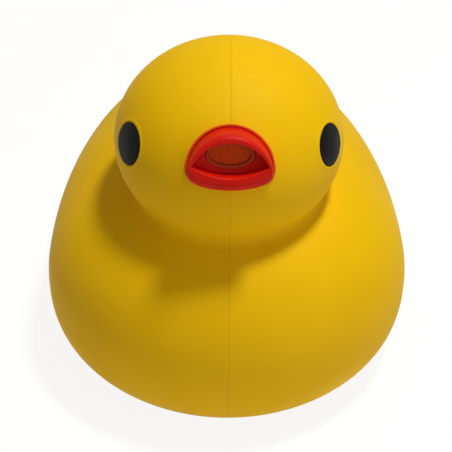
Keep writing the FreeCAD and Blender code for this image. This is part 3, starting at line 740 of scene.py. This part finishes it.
def makePivot():
    low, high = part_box("pivot_screw")
    radius = (high[0] - low[0]) / 2
    seat, crown, shank = low[2] + pivot["headHeight"], pivot["crown"], pivot["shank"]
    edge, ease = pivot["edge"], pivot["tipEase"]
    profile = [(0, low[2]), (radius * 0.6, low[2] + edge * 0.3), (radius - crown * 1.2, low[2] + edge)]
    profile += [(radius - crown * 0.4, low[2] + crown * 0.5), (radius, low[2] + crown * 1.3)]
    profile += [(radius, seat - edge), (radius - edge, seat), (shank, seat)]
    profile += [(shank, high[2] - ease), (shank - ease, high[2]), (0, high[2])]
    screw = lathe("pivotScrew", profile, (0, 0), 96)
    wide = pivot["slot"] / 2
    depth = low[2] + pivot["slotDepth"]
    near, far = (-radius * 1.2, -wide, low[2] - 0.001), (radius * 1.2, wide, depth)
    slot = boxTool("slot", near, far, pivot["slotTurn"])
    return carve(screw, slot)


pivotPiece = makePivot()

thread = {
    "starts": 3,
    "lead": 0.012,
    "rootWidth": 0.0016,
    "crestWidth": 0.0008,
    "sunk": 0.0003,
    "capRoot": 0.0423,
    "capCrest": 0.0431,
    "capSpan": (0.0106, 0.0194),
    "boreRoot": 0.0435,
    "boreCrest": 0.0427,
    "boreSpan": (0.0126, 0.0240),
    "fade": 12,
    "leastHeight": 0.05,
    "steps": 90,
}


def lettingDown():
    # the hand of the thread, +1 for right, with which the turning cap comes down
    for joint in frame["joints"]:
        if joint["name"] == "cap_turn":
            return -1 if joint["axis"][2] > 0 else 1


def threadRidges(name, root, crest, span, phase):
    hand = lettingDown()
    into = -thread["sunk"] if crest > root else thread["sunk"]
    things = []
    half = thread["rootWidth"] / 2
    swing = (span[1] - span[0] - 2 * half) / thread["lead"] * 2 * math.pi
    for start in range(thread["starts"]):
        begin = phase + start * 2 * math.pi / thread["starts"]
        rows = []
        for share in np.linspace(0, 1, thread["steps"]):
            # the ridge fades in and out at its ends
            full = min(1, min(share, 1 - share) * thread["fade"] + thread["leastHeight"])
            angle = begin + hand * swing * share
            height = span[0] + half + thread["lead"] * swing * share / (2 * math.pi)
            top = root + (crest - root) * full
            section = [
                (root + into, -half),
                (root, -half),
                (top, -thread["crestWidth"] / 2),
                (top, thread["crestWidth"] / 2),
                (root, half),
                (root + into, half),
            ]
            for radius, rise in section:
                point = (radius * math.cos(angle), radius * math.sin(angle), height + rise)
                rows.append(point)
        faces = ringFaces(thread["steps"], 6)
        faces += [tuple(range(6))[::-1], tuple(range(len(rows) - 6, len(rows)))]
        things.append(tidyNormals(meshObject("ridge", rows, faces, smooth=False)))
    return joined(things, name)


capThread = threadRidges("capThread", thread["capRoot"], thread["capCrest"], thread["capSpan"], 0.0)
boreThread = threadRidges(
    "boreThread", thread["boreRoot"], thread["boreCrest"], thread["boreSpan"], math.pi / 3
)

scale = {
    "digits": 3,
    "step": 15.0,
    "radius": 0.05025,
    "textSize": 0.00351,
    "raise": 0.0003,
    "sunk": 0.0002,
    "start": 112.5,
    "pointerReach": 0.0462,
    "pointerLength": 0.0075,
    "pointerWidth": 0.0058,
    "pointerRaise": 0.0005,
    "pointerEase": 0.0003,
    "hubDrop": 0.002,
}


def dialSign():
    for joint in frame["joints"]:
        if joint["name"] == "dial_turn":
            return 1 if joint["axis"][2] > 0 else -1


def scaleDigit(number, angle, under):
    # a raised numeral that reads from below, its foot towards the middle
    text = bpy.data.curves.new("digit", "FONT")
    text.body = str(number)
    text.size = scale["textSize"]
    text.align_x = "CENTER"
    text.align_y = "CENTER"
    text.extrude = (scale["raise"] + scale["sunk"]) / 2
    thing = bpy.data.objects.new("digit", text)
    bpy.context.scene.collection.objects.link(thing)
    final = bpy.data.meshes.new_from_object(thing.evaluated_get(bpy.context.evaluated_depsgraph_get()))
    bpy.data.objects.remove(thing)
    outward = np.array([math.cos(angle), math.sin(angle), 0])
    across = np.cross(outward, (0, 0, -1))
    centre = scale["radius"] * outward + (0, 0, under + (scale["sunk"] - scale["raise"]) / 2)
    spots = np.array([v.co[:] for v in final.vertices])
    spots[:, :2] -= (spots[:, :2].min(axis=0) + spots[:, :2].max(axis=0)) / 2
    spots = centre + np.outer(spots[:, 0], across) + np.outer(spots[:, 1], outward)
    spots[:, 2] -= np.array([v.co[2] for v in final.vertices])
    faces = [tuple(p.vertices) for p in final.polygons]
    digit = meshObject("digit", spots, faces, smooth=False)
    work = bmesh.new()
    work.from_mesh(digit.data)
    bmesh.ops.remove_doubles(work, verts=work.verts, dist=1e-6)
    work.to_mesh(digit.data)
    work.free()
    return tidyNormals(digit)


def makeScale():
    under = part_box("base_cap")[0][2]
    digits = []
    for number in range(scale["digits"]):
        angle = math.radians(scale["start"] + dialSign() * scale["step"] * number)
        digits.append(scaleDigit(number, angle, under))
    return joined(digits, "flowScale")


def makePointer():
    # the dial's flat face stands above its hub
    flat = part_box("flow_dial")[0][2] + scale["hubDrop"]
    angle = math.radians(scale["start"])
    outward = np.array([math.cos(angle), math.sin(angle), 0])
    across = np.cross(outward, (0, 0, -1))
    tip = scale["pointerReach"]
    tail = tip - scale["pointerLength"]
    half = scale["pointerWidth"] / 2
    corners = []
    for height, ease in ((flat + scale["sunk"], 0), (flat - scale["pointerRaise"], scale["pointerEase"])):
        for reach, side in ((tip - ease * 2, 0), (tail + ease, half - ease), (tail + ease, ease - half)):
            corners.append(reach * outward + side * across + (0, 0, height))
    faces = [(0, 1, 2), (5, 4, 3), (0, 3, 4, 1), (1, 4, 5, 2), (2, 5, 3, 0)]
    return tidyNormals(meshObject("dialPointer", corners, faces, smooth=False))


flowScale = makeScale()
dialPointer = makePointer()
print("threads, scale and pointer made")


# Effects that several finishes share


def newGroup(name, inputs, outputs):
    group = bpy.data.node_groups.new(name, "ShaderNodeTree")
    for label, kind, value in inputs:
        socket = group.interface.new_socket(label, in_out="INPUT", socket_type="NodeSocket" + kind)
        socket.default_value = value
    for label, kind in outputs:
        group.interface.new_socket(label, in_out="OUTPUT", socket_type="NodeSocket" + kind)
    return group, group.nodes.new("NodeGroupInput"), group.nodes.new("NodeGroupOutput")


def place(tree, kind, links=(), **values):
    # a node with its settings, its sockets' values and what feeds it
    node = tree.nodes.new("ShaderNode" + kind)
    for key, value in values.items():
        setattr(node, key, value)
    for target, source in dict(links).items():
        if hasattr(source, "is_output"):
            tree.links.new(source, node.inputs[target])
        else:
            node.inputs[target].default_value = source
    return node


def mixColor(tree, mask, first, second):
    # both colours may be plain values or sockets
    mix = tree.nodes.new("ShaderNodeMix")
    mix.data_type = "RGBA"
    tree.links.new(mask, mix.inputs["Factor"])
    inputs = [socket for socket in mix.inputs if socket.type == "RGBA"]
    for socket, value in zip(inputs, (first, second)):
        if hasattr(value, "is_output"):
            tree.links.new(value, socket)
        else:
            socket.default_value = value
    return [socket for socket in mix.outputs if socket.type == "RGBA"][0]


def makeCloudy():
    # slow change of colour over a moulding; the mask runs with it
    group, given, put = newGroup(
        "cloudy",
        [
            ("Light Color", "Color", (1, 1, 1, 1)),
            ("Dark Color", "Color", (0, 0, 0, 1)),
            ("Scale", "Float", 20),
            ("Detail", "Float", 3),
        ],
        [("Color", "Color"), ("Mask", "Float")],
    )
    spot = place(group, "TexCoord")
    noise = place(
        group,
        "TexNoise",
        {
            "Vector": spot.outputs["Object"],
            "Scale": given.outputs["Scale"],
            "Detail": given.outputs["Detail"],
        },
    )
    mask = place(group, "MapRange", {"Value": noise.outputs["Fac"], "From Min": 0.32, "From Max": 0.68})
    light, dark = given.outputs["Light Color"], given.outputs["Dark Color"]
    tone = mixColor(group, mask.outputs["Result"], light, dark)
    group.links.new(tone, put.inputs["Color"])
    group.links.new(mask.outputs["Result"], put.inputs["Mask"])
    return group


def makeSpecks():
    # small dots of dust, in a few of the cells
    group, given, put = newGroup(
        "dustSpecks",
        [("Scale", "Float", 400), ("Size", "Float", 0.12), ("Share", "Float", 0.1)],
        [("Mask", "Float")],
    )
    spot = place(group, "TexCoord")
    cells = place(
        group, "TexVoronoi", {"Vector": spot.outputs["Object"], "Scale": given.outputs["Scale"]}
    )
    near = place(
        group,
        "Math",
        {0: cells.outputs["Distance"], 1: given.outputs["Size"]},
        operation="LESS_THAN",
    )
    split = place(group, "SeparateColor", {"Color": cells.outputs["Color"]})
    chosen = place(
        group, "Math", {0: split.outputs["Red"], 1: given.outputs["Share"]}, operation="LESS_THAN"
    )
    both = place(group, "Math", {0: near.outputs[0], 1: chosen.outputs[0]}, operation="MULTIPLY")
    group.links.new(both.outputs[0], put.inputs["Mask"])
    return group


def makeGrain():
    # the fine skin of a moulding, with a few shallow pits
    group, given, put = newGroup(
        "mouldGrain",
        [("Scale", "Float", 900), ("Pits", "Float", 0.3)],
        [("Height", "Float")],
    )
    spot = place(group, "TexCoord")
    noise = place(
        group,
        "TexNoise",
        {"Vector": spot.outputs["Object"], "Scale": given.outputs["Scale"], "Detail": 2},
    )
    cells = place(group, "TexVoronoi", {"Vector": spot.outputs["Object"], "Scale": 160})
    pit = place(
        group,
        "MapRange",
        {"Value": cells.outputs["Distance"], "From Min": 0.05, "From Max": 0.16},
    )
    sunk = place(
        group, "Math", {0: pit.outputs["Result"], 1: given.outputs["Pits"]}, operation="MULTIPLY"
    )
    both = place(group, "Math", {0: noise.outputs["Fac"], 1: sunk.outputs[0]}, operation="ADD")
    group.links.new(both.outputs[0], put.inputs["Height"])
    return group


def makeEdgeWear():
    # edges that hands and pool walls have rubbed
    group, given, put = newGroup(
        "edgeWear", [("Start", "Float", 0.53), ("Full", "Float", 0.6)], [("Mask", "Float")]
    )
    bent = place(group, "NewGeometry")
    sharp = place(
        group,
        "MapRange",
        {
            "Value": bent.outputs["Pointiness"],
            "From Min": given.outputs["Start"],
            "From Max": given.outputs["Full"],
        },
    )
    spot = place(group, "TexCoord")
    noise = place(group, "TexNoise", {"Vector": spot.outputs["Object"], "Scale": 260, "Detail": 4})
    patchy = place(
        group, "Math", {0: sharp.outputs["Result"], 1: noise.outputs["Fac"]}, operation="MULTIPLY"
    )
    group.links.new(patchy.outputs[0], put.inputs["Mask"])
    return group


def makeScuffs():
    # thin scratches that run one way
    group, given, put = newGroup(
        "scuffs",
        [("Along", "Vector", (1, 12, 12)), ("Scale", "Float", 120)],
        [("Mask", "Float")],
    )
    spot = place(group, "TexCoord")
    stretch = place(
        group,
        "VectorMath",
        {0: spot.outputs["Object"], 1: given.outputs["Along"]},
        operation="MULTIPLY",
    )
    noise = place(
        group,
        "TexNoise",
        {"Vector": stretch.outputs[0], "Scale": given.outputs["Scale"], "Detail": 5},
    )
    thin = place(group, "MapRange", {"Value": noise.outputs["Fac"], "From Min": 0.56, "From Max": 0.7})
    group.links.new(thin.outputs["Result"], put.inputs["Mask"])
    return group


cloudy = makeCloudy()
dustSpecks = makeSpecks()
mouldGrain = makeGrain()
edgeWear = makeEdgeWear()
scuffs = makeScuffs()
print("shared effects made")


# Finishes

socketNames = {
    "roughness": "Roughness",
    "metallic": "Metallic",
    "specular": "Specular IOR Level",
    "transmission": "Transmission Weight",
    "ior": "IOR",
}


def newMaterial(name, **values):
    material = bpy.data.materials.new(name)
    material.use_nodes = True
    shader = material.node_tree.nodes["Principled BSDF"]
    for socket, value in values.items():
        shader.inputs[socketNames[socket]].default_value = value
    return material, shader


def addGroup(tree, group, **values):
    node = tree.nodes.new("ShaderNodeGroup")
    node.node_tree = group
    for label, value in values.items():
        node.inputs[label.replace("_", " ")].default_value = value
    return node


def dullWhere(tree, shader, mask, low, high):
    # roughness that follows a mask
    span = place(tree, "MapRange", {"Value": mask, "To Min": low, "To Max": high})
    tree.links.new(span.outputs["Result"], shader.inputs["Roughness"])


def raised(tree, shader, height, strength, distance):
    bump = place(tree, "Bump", {"Height": height, "Strength": strength, "Distance": distance})
    tree.links.new(bump.outputs["Normal"], shader.inputs["Normal"])


def mouldedPlastic(name, look, **values):
    # plastic with a cloudy colour, dust, rubbed edges and a moulded grain
    material, shader = newMaterial(name, specular=look["specular"], **values)
    tree = material.node_tree
    tone = addGroup(
        tree, cloudy, Light_Color=look["light"], Dark_Color=look["dark"], Scale=look["cloudScale"]
    )
    dots = addGroup(tree, dustSpecks, Scale=look["dustScale"], Share=look["dustShare"])
    dusty = mixColor(tree, dots.outputs["Mask"], tone.outputs["Color"], look["dust"])
    rubbed = addGroup(tree, edgeWear, Start=look["wearStart"], Full=look["wearFull"])
    color = mixColor(tree, rubbed.outputs["Mask"], dusty, look["worn"])
    tree.links.new(color, shader.inputs["Base Color"])
    dullWhere(tree, shader, tone.outputs["Mask"], look["roughness"][0], look["roughness"][1])
    grain = addGroup(tree, mouldGrain, Scale=look["grainScale"], Pits=look["pits"])
    raised(tree, shader, grain.outputs["Height"], look["bump"], look["bumpDistance"])
    return material


def brushedSteel(name, look):
    material, shader = newMaterial(name, metallic=1.0)
    tree = material.node_tree
    lines = addGroup(tree, scuffs, Along=look["along"], Scale=look["scale"])
    color = mixColor(tree, lines.outputs["Mask"], look["light"], look["dark"])
    tree.links.new(color, shader.inputs["Base Color"])
    dullWhere(tree, shader, lines.outputs["Mask"], look["roughness"][0], look["roughness"][1])
    raised(tree, shader, lines.outputs["Mask"], look["bump"], look["bumpDistance"])
    return material


plasticLook = {
    "specular": 0.3,
    "light": (0.8, 0.8, 0.8, 1),
    "dark": (0.75, 0.75, 0.75, 1),
    "cloudScale": 22,
    "dustScale": 420,
    "dustShare": 0.05,
    "dust": (0.3, 0.25, 0.2, 1),
    "wearStart": 0.53,
    "wearFull": 0.62,
    "worn": (0.85, 0.85, 0.85, 1),
    "roughness": (0.45, 0.55),
    "grainScale": 900,
    "pits": 0.25,
    "bump": 0.12,
    "bumpDistance": 0.0002,
}
yellowLook = plasticLook | {
    "specular": 0.1,
    "light": (0.95, 0.585, 0.001, 1),
    "dark": (0.92, 0.558, 0.001, 1),
    "cloudScale": 30,
    "dust": (0.62, 0.34, 0.003, 1),
    "dustShare": 0.035,
    "worn": (0.88, 0.54, 0.004, 1),
    "roughness": (0.58, 0.66),
}
baseLook = yellowLook | {
    "specular": 0.25,
    "worn": (0.95, 0.70, 0.10, 1),
    "roughness": (0.42, 0.52),
    "dustShare": 0.05,
    "pits": 0.4,
}
redLook = plasticLook | {
    "specular": 0.15,
    "light": (0.74, 0.009, 0.0005, 1),
    "dark": (0.68, 0.007, 0.0004, 1),
    "cloudScale": 120,
    "dust": (0.28, 0.01, 0.004, 1),
    "dustShare": 0.02,
    "worn": (0.78, 0.03, 0.004, 1),
    "roughness": (0.42, 0.5),
    "bump": 0.06,
}
# the bead round the foot of the lips is painted paler orange: a painted highlight along its rolled edge
# and a painted reflection of the yellow head
paintedRimHighlightLook = redLook | {"light": (0.82, 0.14, 0.01, 1), "dark": (0.78, 0.11, 0.008, 1)}
bushLook = plasticLook | {
    "specular": 0.2,
    "light": (0.50, 0.06, 0.006, 1),
    "dark": (0.42, 0.045, 0.004, 1),
    "cloudScale": 160,
    "dust": (0.12, 0.03, 0.01, 1),
    "worn": (0.45, 0.09, 0.03, 1),
    "roughness": (0.6, 0.75),
    "bump": 0.3,
}
whiteLook = plasticLook | {
    "light": (0.74, 0.73, 0.68, 1),
    "dark": (0.69, 0.67, 0.60, 1),
    "dust": (0.35, 0.31, 0.24, 1),
    "worn": (0.80, 0.79, 0.76, 1),
    "roughness": (0.38, 0.5),
}
capLook = whiteLook | {"cloudScale": 45, "pits": 0.5, "bump": 0.2, "roughness": (0.45, 0.6)}
dialLook = redLook | {
    "specular": 0.35,
    "cloudScale": 60,
    "dust": (0.25, 0.08, 0.05, 1),
    "dustShare": 0.05,
    "worn": (0.75, 0.16, 0.10, 1),
    "roughness": (0.4, 0.55),
    "bump": 0.15,
}
rubberLook = plasticLook | {
    "light": (0.022, 0.022, 0.024, 1),
    "dark": (0.012, 0.012, 0.013, 1),
    "dust": (0.12, 0.11, 0.10, 1),
    "worn": (0.05, 0.05, 0.05, 1),
    "roughness": (0.6, 0.8),
    "bump": 0.35,
}
eyeLook = plasticLook | {
    "specular": 0.06,
    "light": (0.0035, 0.0035, 0.0025, 1),
    "dark": (0.002, 0.002, 0.0015, 1),
    "cloudScale": 150,
    "dust": (0.012, 0.012, 0.01, 1),
    "dustShare": 0.02,
    "worn": (0.008, 0.007, 0.004, 1),
    "roughness": (0.42, 0.52),
    "bump": 0.04,
}
steelLook = {
    "light": (0.62, 0.62, 0.61, 1),
    "dark": (0.42, 0.42, 0.42, 1),
    "along": (1, 14, 14),
    "scale": 420,
    "roughness": (0.28, 0.45),
    "bump": 0.25,
    "bumpDistance": 0.0001,
}
clipLook = steelLook | {"along": (14, 1, 14), "scale": 300, "roughness": (0.22, 0.38)}


def porousStone():
    # sintered grains; the gaps between them are sunk by the bump and painted darker, as painted shade
    material, shader = newMaterial("porousDisc", specular=0.2)
    tree = material.node_tree
    spot = place(tree, "TexCoord")
    cells = place(tree, "TexVoronoi", {"Vector": spot.outputs["Object"], "Scale": 2200})
    gap = place(
        tree, "MapRange", {"Value": cells.outputs["Distance"], "From Min": 0.3, "From Max": 0.62}
    )
    # darker towards the gaps between grains: painted shade in the sunken pores
    color = mixColor(tree, gap.outputs["Result"], (0.80, 0.11, 0.008, 1), (0.60, 0.07, 0.005, 1))
    tree.links.new(color, shader.inputs["Base Color"])
    dullWhere(tree, shader, gap.outputs["Result"], 0.7, 0.9)
    flip = place(tree, "Math", {0: 1.0, 1: gap.outputs["Result"]}, operation="SUBTRACT")
    raised(tree, shader, flip.outputs[0], 0.5, 0.0003)
    return material


def clearVinyl():
    # a clear tube with a slight haze
    material, shader = newMaterial("clearTube", transmission=0.85, ior=1.45, specular=0.4)
    tree = material.node_tree
    tone = addGroup(
        tree, cloudy, Light_Color=(0.92, 0.95, 0.95, 1), Dark_Color=(0.82, 0.86, 0.86, 1), Scale=90
    )
    tree.links.new(tone.outputs["Color"], shader.inputs["Base Color"])
    dullWhere(tree, shader, tone.outputs["Mask"], 0.08, 0.2)
    return material


yellowVinyl = mouldedPlastic("yellowVinyl", yellowLook)
yellowBase = mouldedPlastic("yellowBase", baseLook)
redLips = mouldedPlastic("redLips", redLook)
paintedRimHighlight = mouldedPlastic("paintedRimHighlight", paintedRimHighlightLook)
brownBush = mouldedPlastic("brownBush", bushLook)
porousDisc = porousStone()
clearTube = clearVinyl()
clipSteel = brushedSteel("clipSteel", clipLook)
screwSteel = brushedSteel("screwSteel", steelLook)
blackEye = mouldedPlastic("blackEye", eyeLook)
whiteChamber = mouldedPlastic("whiteChamber", whiteLook)
whiteCap = mouldedPlastic("whiteCap", capLook)
redDial = mouldedPlastic("redDial", dialLook)
blackRubber = mouldedPlastic("blackRubber", rubberLook)
print("finishes made")


def wear(thing, material):
    thing.data.materials.clear()
    thing.data.materials.append(material)
    for face in thing.data.polygons:
        face.material_index = 0
    return thing


def dress(node, material):
    # the frame's own pieces keep their meshes and take the finish on their object
    thing = nodes[node]
    for holder in thing.material_slots:
        holder.link = "OBJECT"
        holder.material = material


for thing, material, body, node, slot in (
    (shellLeft, yellowVinyl, "float", "float_shell_left", "yellow_shell"),
    (shellRight, yellowVinyl, "float", "float_shell_right", "yellow_shell"),
    (billPiece, redLips, "float", "bill", "red_bill"),
    (eyeLeft, blackEye, "float", "eye_left", "black_eye"),
    (eyeRight, blackEye, "float", "eye_right", "black_eye"),
    (screwPiece, screwSteel, "float", "flange_screws", "screw_steel"),
    (pivotPiece, screwSteel, "cap", "pivot_screw", "screw_steel"),
    (capThread, whiteCap, "cap", None, "white_cap"),
    (boreThread, whiteChamber, "float", None, "white_chamber"),
    (flowScale, redDial, "cap", None, "red_dial"),
    (dialPointer, whiteCap, "dial", None, "white_cap"),
):
    wear(thing, material)
    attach(thing, body)
    if node:
        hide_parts(node)

# the bead's faces take the paler orange finish, a painted highlight and painted reflection of the yellow
# head
billPiece.data.materials.append(paintedRimHighlight)
for index in beadFaces:
    billPiece.data.polygons[index].material_index = 1

for node, material, slot in (
    ("base_pan", yellowBase, "yellow_base"),
    ("throat_bush", brownBush, "brown_bush"),
    ("vent_disc", porousDisc, "porous_disc"),
    ("vent_tube", clearTube, "clear_tube"),
    ("tube_clips", clipSteel, "clip_steel"),
    ("tablet_chamber", whiteChamber, "white_chamber"),
    ("chamber_gasket", blackRubber, "black_gasket"),
    ("cap_gasket", blackRubber, "black_gasket"),
    ("base_cap", whiteCap, "white_cap"),
    ("flow_dial", redDial, "red_dial"),
    ("pivot_washer", screwSteel, "screw_steel"),
    ("pivot_nut", screwSteel, "screw_steel"),
):
    dress(node, material)
print("pieces dressed")


# Camera, floor and lights

studio = {
    "cameraPivot": (0, -0.046, 0),
    "cameraBack": 0.472,
    "cameraHeight": 0.514,
    "cameraDown": 42.5,
    "cameraTurn": -0.95,
    "cameraRoll": 0.9,
    "lens": 93.9,
    "shiftX": -0.0035,
    "floorSize": 4.0,
    "floorInset": 0.007,
    "floorDrop": 0.0002,
    "keyPlace": (0.265, 0.02, 1.27),
    "keySize": 0.19,
    "keyPower": 9.0,
    "fillPlace": (0.6, -1.0, 0.35),
    "fillSize": 1.0,
    "fillPower": 1.9,
    "sky": 0.235,
    "skyColor": (1.0, 0.86, 0.70, 1),
    "shadowShare": 0.2,
    "paleGlow": 1.1,
}

camera = bpy.data.objects.new("camera", bpy.data.cameras.new("camera"))
turned = Matrix.Rotation(math.radians(studio["cameraTurn"]), 4, "Z")
camera.matrix_world = (
    Matrix.Translation(studio["cameraPivot"])
    @ turned
    @ Matrix.Translation((0, -studio["cameraBack"], studio["cameraHeight"]))
    @ Matrix.Rotation(math.radians(90 - studio["cameraDown"]), 4, "X")
    @ Matrix.Rotation(math.radians(studio["cameraRoll"]), 4, "Z")
)
camera.data.lens = studio["lens"]
camera.data.sensor_width = 36
camera.data.shift_x = studio["shiftX"]
bpy.context.scene.collection.objects.link(camera)
bpy.context.scene.camera = camera


def softLight(name, place, size, power, target=(0, -0.03, 0.09)):
    lamp = bpy.data.lights.new(name, "AREA")
    lamp.shape = "DISK"
    lamp.size = size
    lamp.energy = power
    thing = bpy.data.objects.new(name, lamp)
    thing.location = place
    aim = Vector(target) - Vector(place)
    thing.rotation_euler = aim.to_track_quat("-Z", "Y").to_euler()
    bpy.context.scene.collection.objects.link(thing)
    return thing


softLight("keyLight", studio["keyPlace"], studio["keySize"], studio["keyPower"])
softLight("fillLight", studio["fillPlace"], studio["fillSize"], studio["fillPower"])


def makeFloor():
    # a wide sheet just under the duck, open where the duck's own base covers it
    turn = np.linspace(0, 2 * math.pi, 96, endpoint=False)
    drop = (duck["waistHeight"] - shell["baseHeight"]) / duck["bellyDrop"]
    share = (1 - drop ** duck["fullness"]) ** (1 / duck["fullness"])
    reach = np.where(np.sin(turn) < 0, duck["frontReach"], duck["rearReach"])
    rows = []
    for grow in (studio["floorSize"], 1.0, 0.2, -studio["floorInset"]):
        x = (duck["halfWidth"] * share + grow) * np.cos(turn)
        y = duck["widestY"] + (reach * share + grow) * np.sin(turn)
        rows.append(np.stack([x, y, np.full(len(turn), -studio["floorDrop"])], axis=1))
    return meshObject("floor", np.concatenate(rows), ringFaces(len(rows), len(turn)), smooth=False)


floor = makeFloor()


def seenDirectly(tree):
    # 1 where the eye, a mirror or glass looks at a surface, 0 where it only lights others
    path = tree.nodes.new("ShaderNodeLightPath")
    total = path.outputs["Is Camera Ray"]
    for label in ("Is Glossy Ray", "Is Transmission Ray"):
        either = tree.nodes.new("ShaderNodeMath")
        either.operation = "MAXIMUM"
        tree.links.new(total, either.inputs[0])
        tree.links.new(path.outputs[label], either.inputs[1])
        total = either.outputs["Value"]
    return total


floorPaint = bpy.data.materials.new("paleFloor")
floorPaint.use_nodes = True
tree = floorPaint.node_tree
tree.nodes.clear()
pale = tree.nodes.new("ShaderNodeBsdfDiffuse")
pale.inputs["Color"].default_value = (0.84, 0.84, 0.84, 1)
glow = tree.nodes.new("ShaderNodeEmission")
glow.inputs["Strength"].default_value = studio["paleGlow"]
shown = tree.nodes.new("ShaderNodeMixShader")  # mostly glow, with the shadow left in it
shown.inputs["Fac"].default_value = studio["shadowShare"]
tree.links.new(glow.outputs["Emission"], shown.inputs[1])
tree.links.new(pale.outputs["BSDF"], shown.inputs[2])
either = tree.nodes.new("ShaderNodeMixShader")
output = tree.nodes.new("ShaderNodeOutputMaterial")
tree.links.new(seenDirectly(tree), either.inputs["Fac"])
tree.links.new(pale.outputs["BSDF"], either.inputs[1])
tree.links.new(shown.outputs["Shader"], either.inputs[2])
# from below the floor is out of the way, so the underside can be looked at
side = tree.nodes.new("ShaderNodeNewGeometry")
clear = tree.nodes.new("ShaderNodeBsdfTransparent")
oneSided = tree.nodes.new("ShaderNodeMixShader")
tree.links.new(side.outputs["Backfacing"], oneSided.inputs["Fac"])
tree.links.new(either.outputs["Shader"], oneSided.inputs[1])
tree.links.new(clear.outputs["BSDF"], oneSided.inputs[2])
tree.links.new(oneSided.outputs["Shader"], output.inputs["Surface"])
wear(floor, floorPaint)

world = bpy.data.worlds.new("softSky")
world.use_nodes = True
bpy.context.scene.world = world
tree = world.node_tree
light = tree.nodes["Background"]
light.inputs["Color"].default_value = studio["skyColor"]
light.inputs["Strength"].default_value = studio["sky"]
plainWhite = tree.nodes.new("ShaderNodeBackground")
plainWhite.inputs["Color"].default_value = (1, 1, 1, 1)
either = tree.nodes.new("ShaderNodeMixShader")
tree.links.new(seenDirectly(tree), either.inputs["Fac"])
tree.links.new(light.outputs["Background"], either.inputs[1])
tree.links.new(plainWhite.outputs["Background"], either.inputs[2])
tree.links.new(either.outputs["Shader"], tree.nodes["World Output"].inputs["Surface"])

bpy.context.scene.view_settings.view_transform = "Standard"
print("camera, floor and lights placed")

bpy.context.view_layer.update()
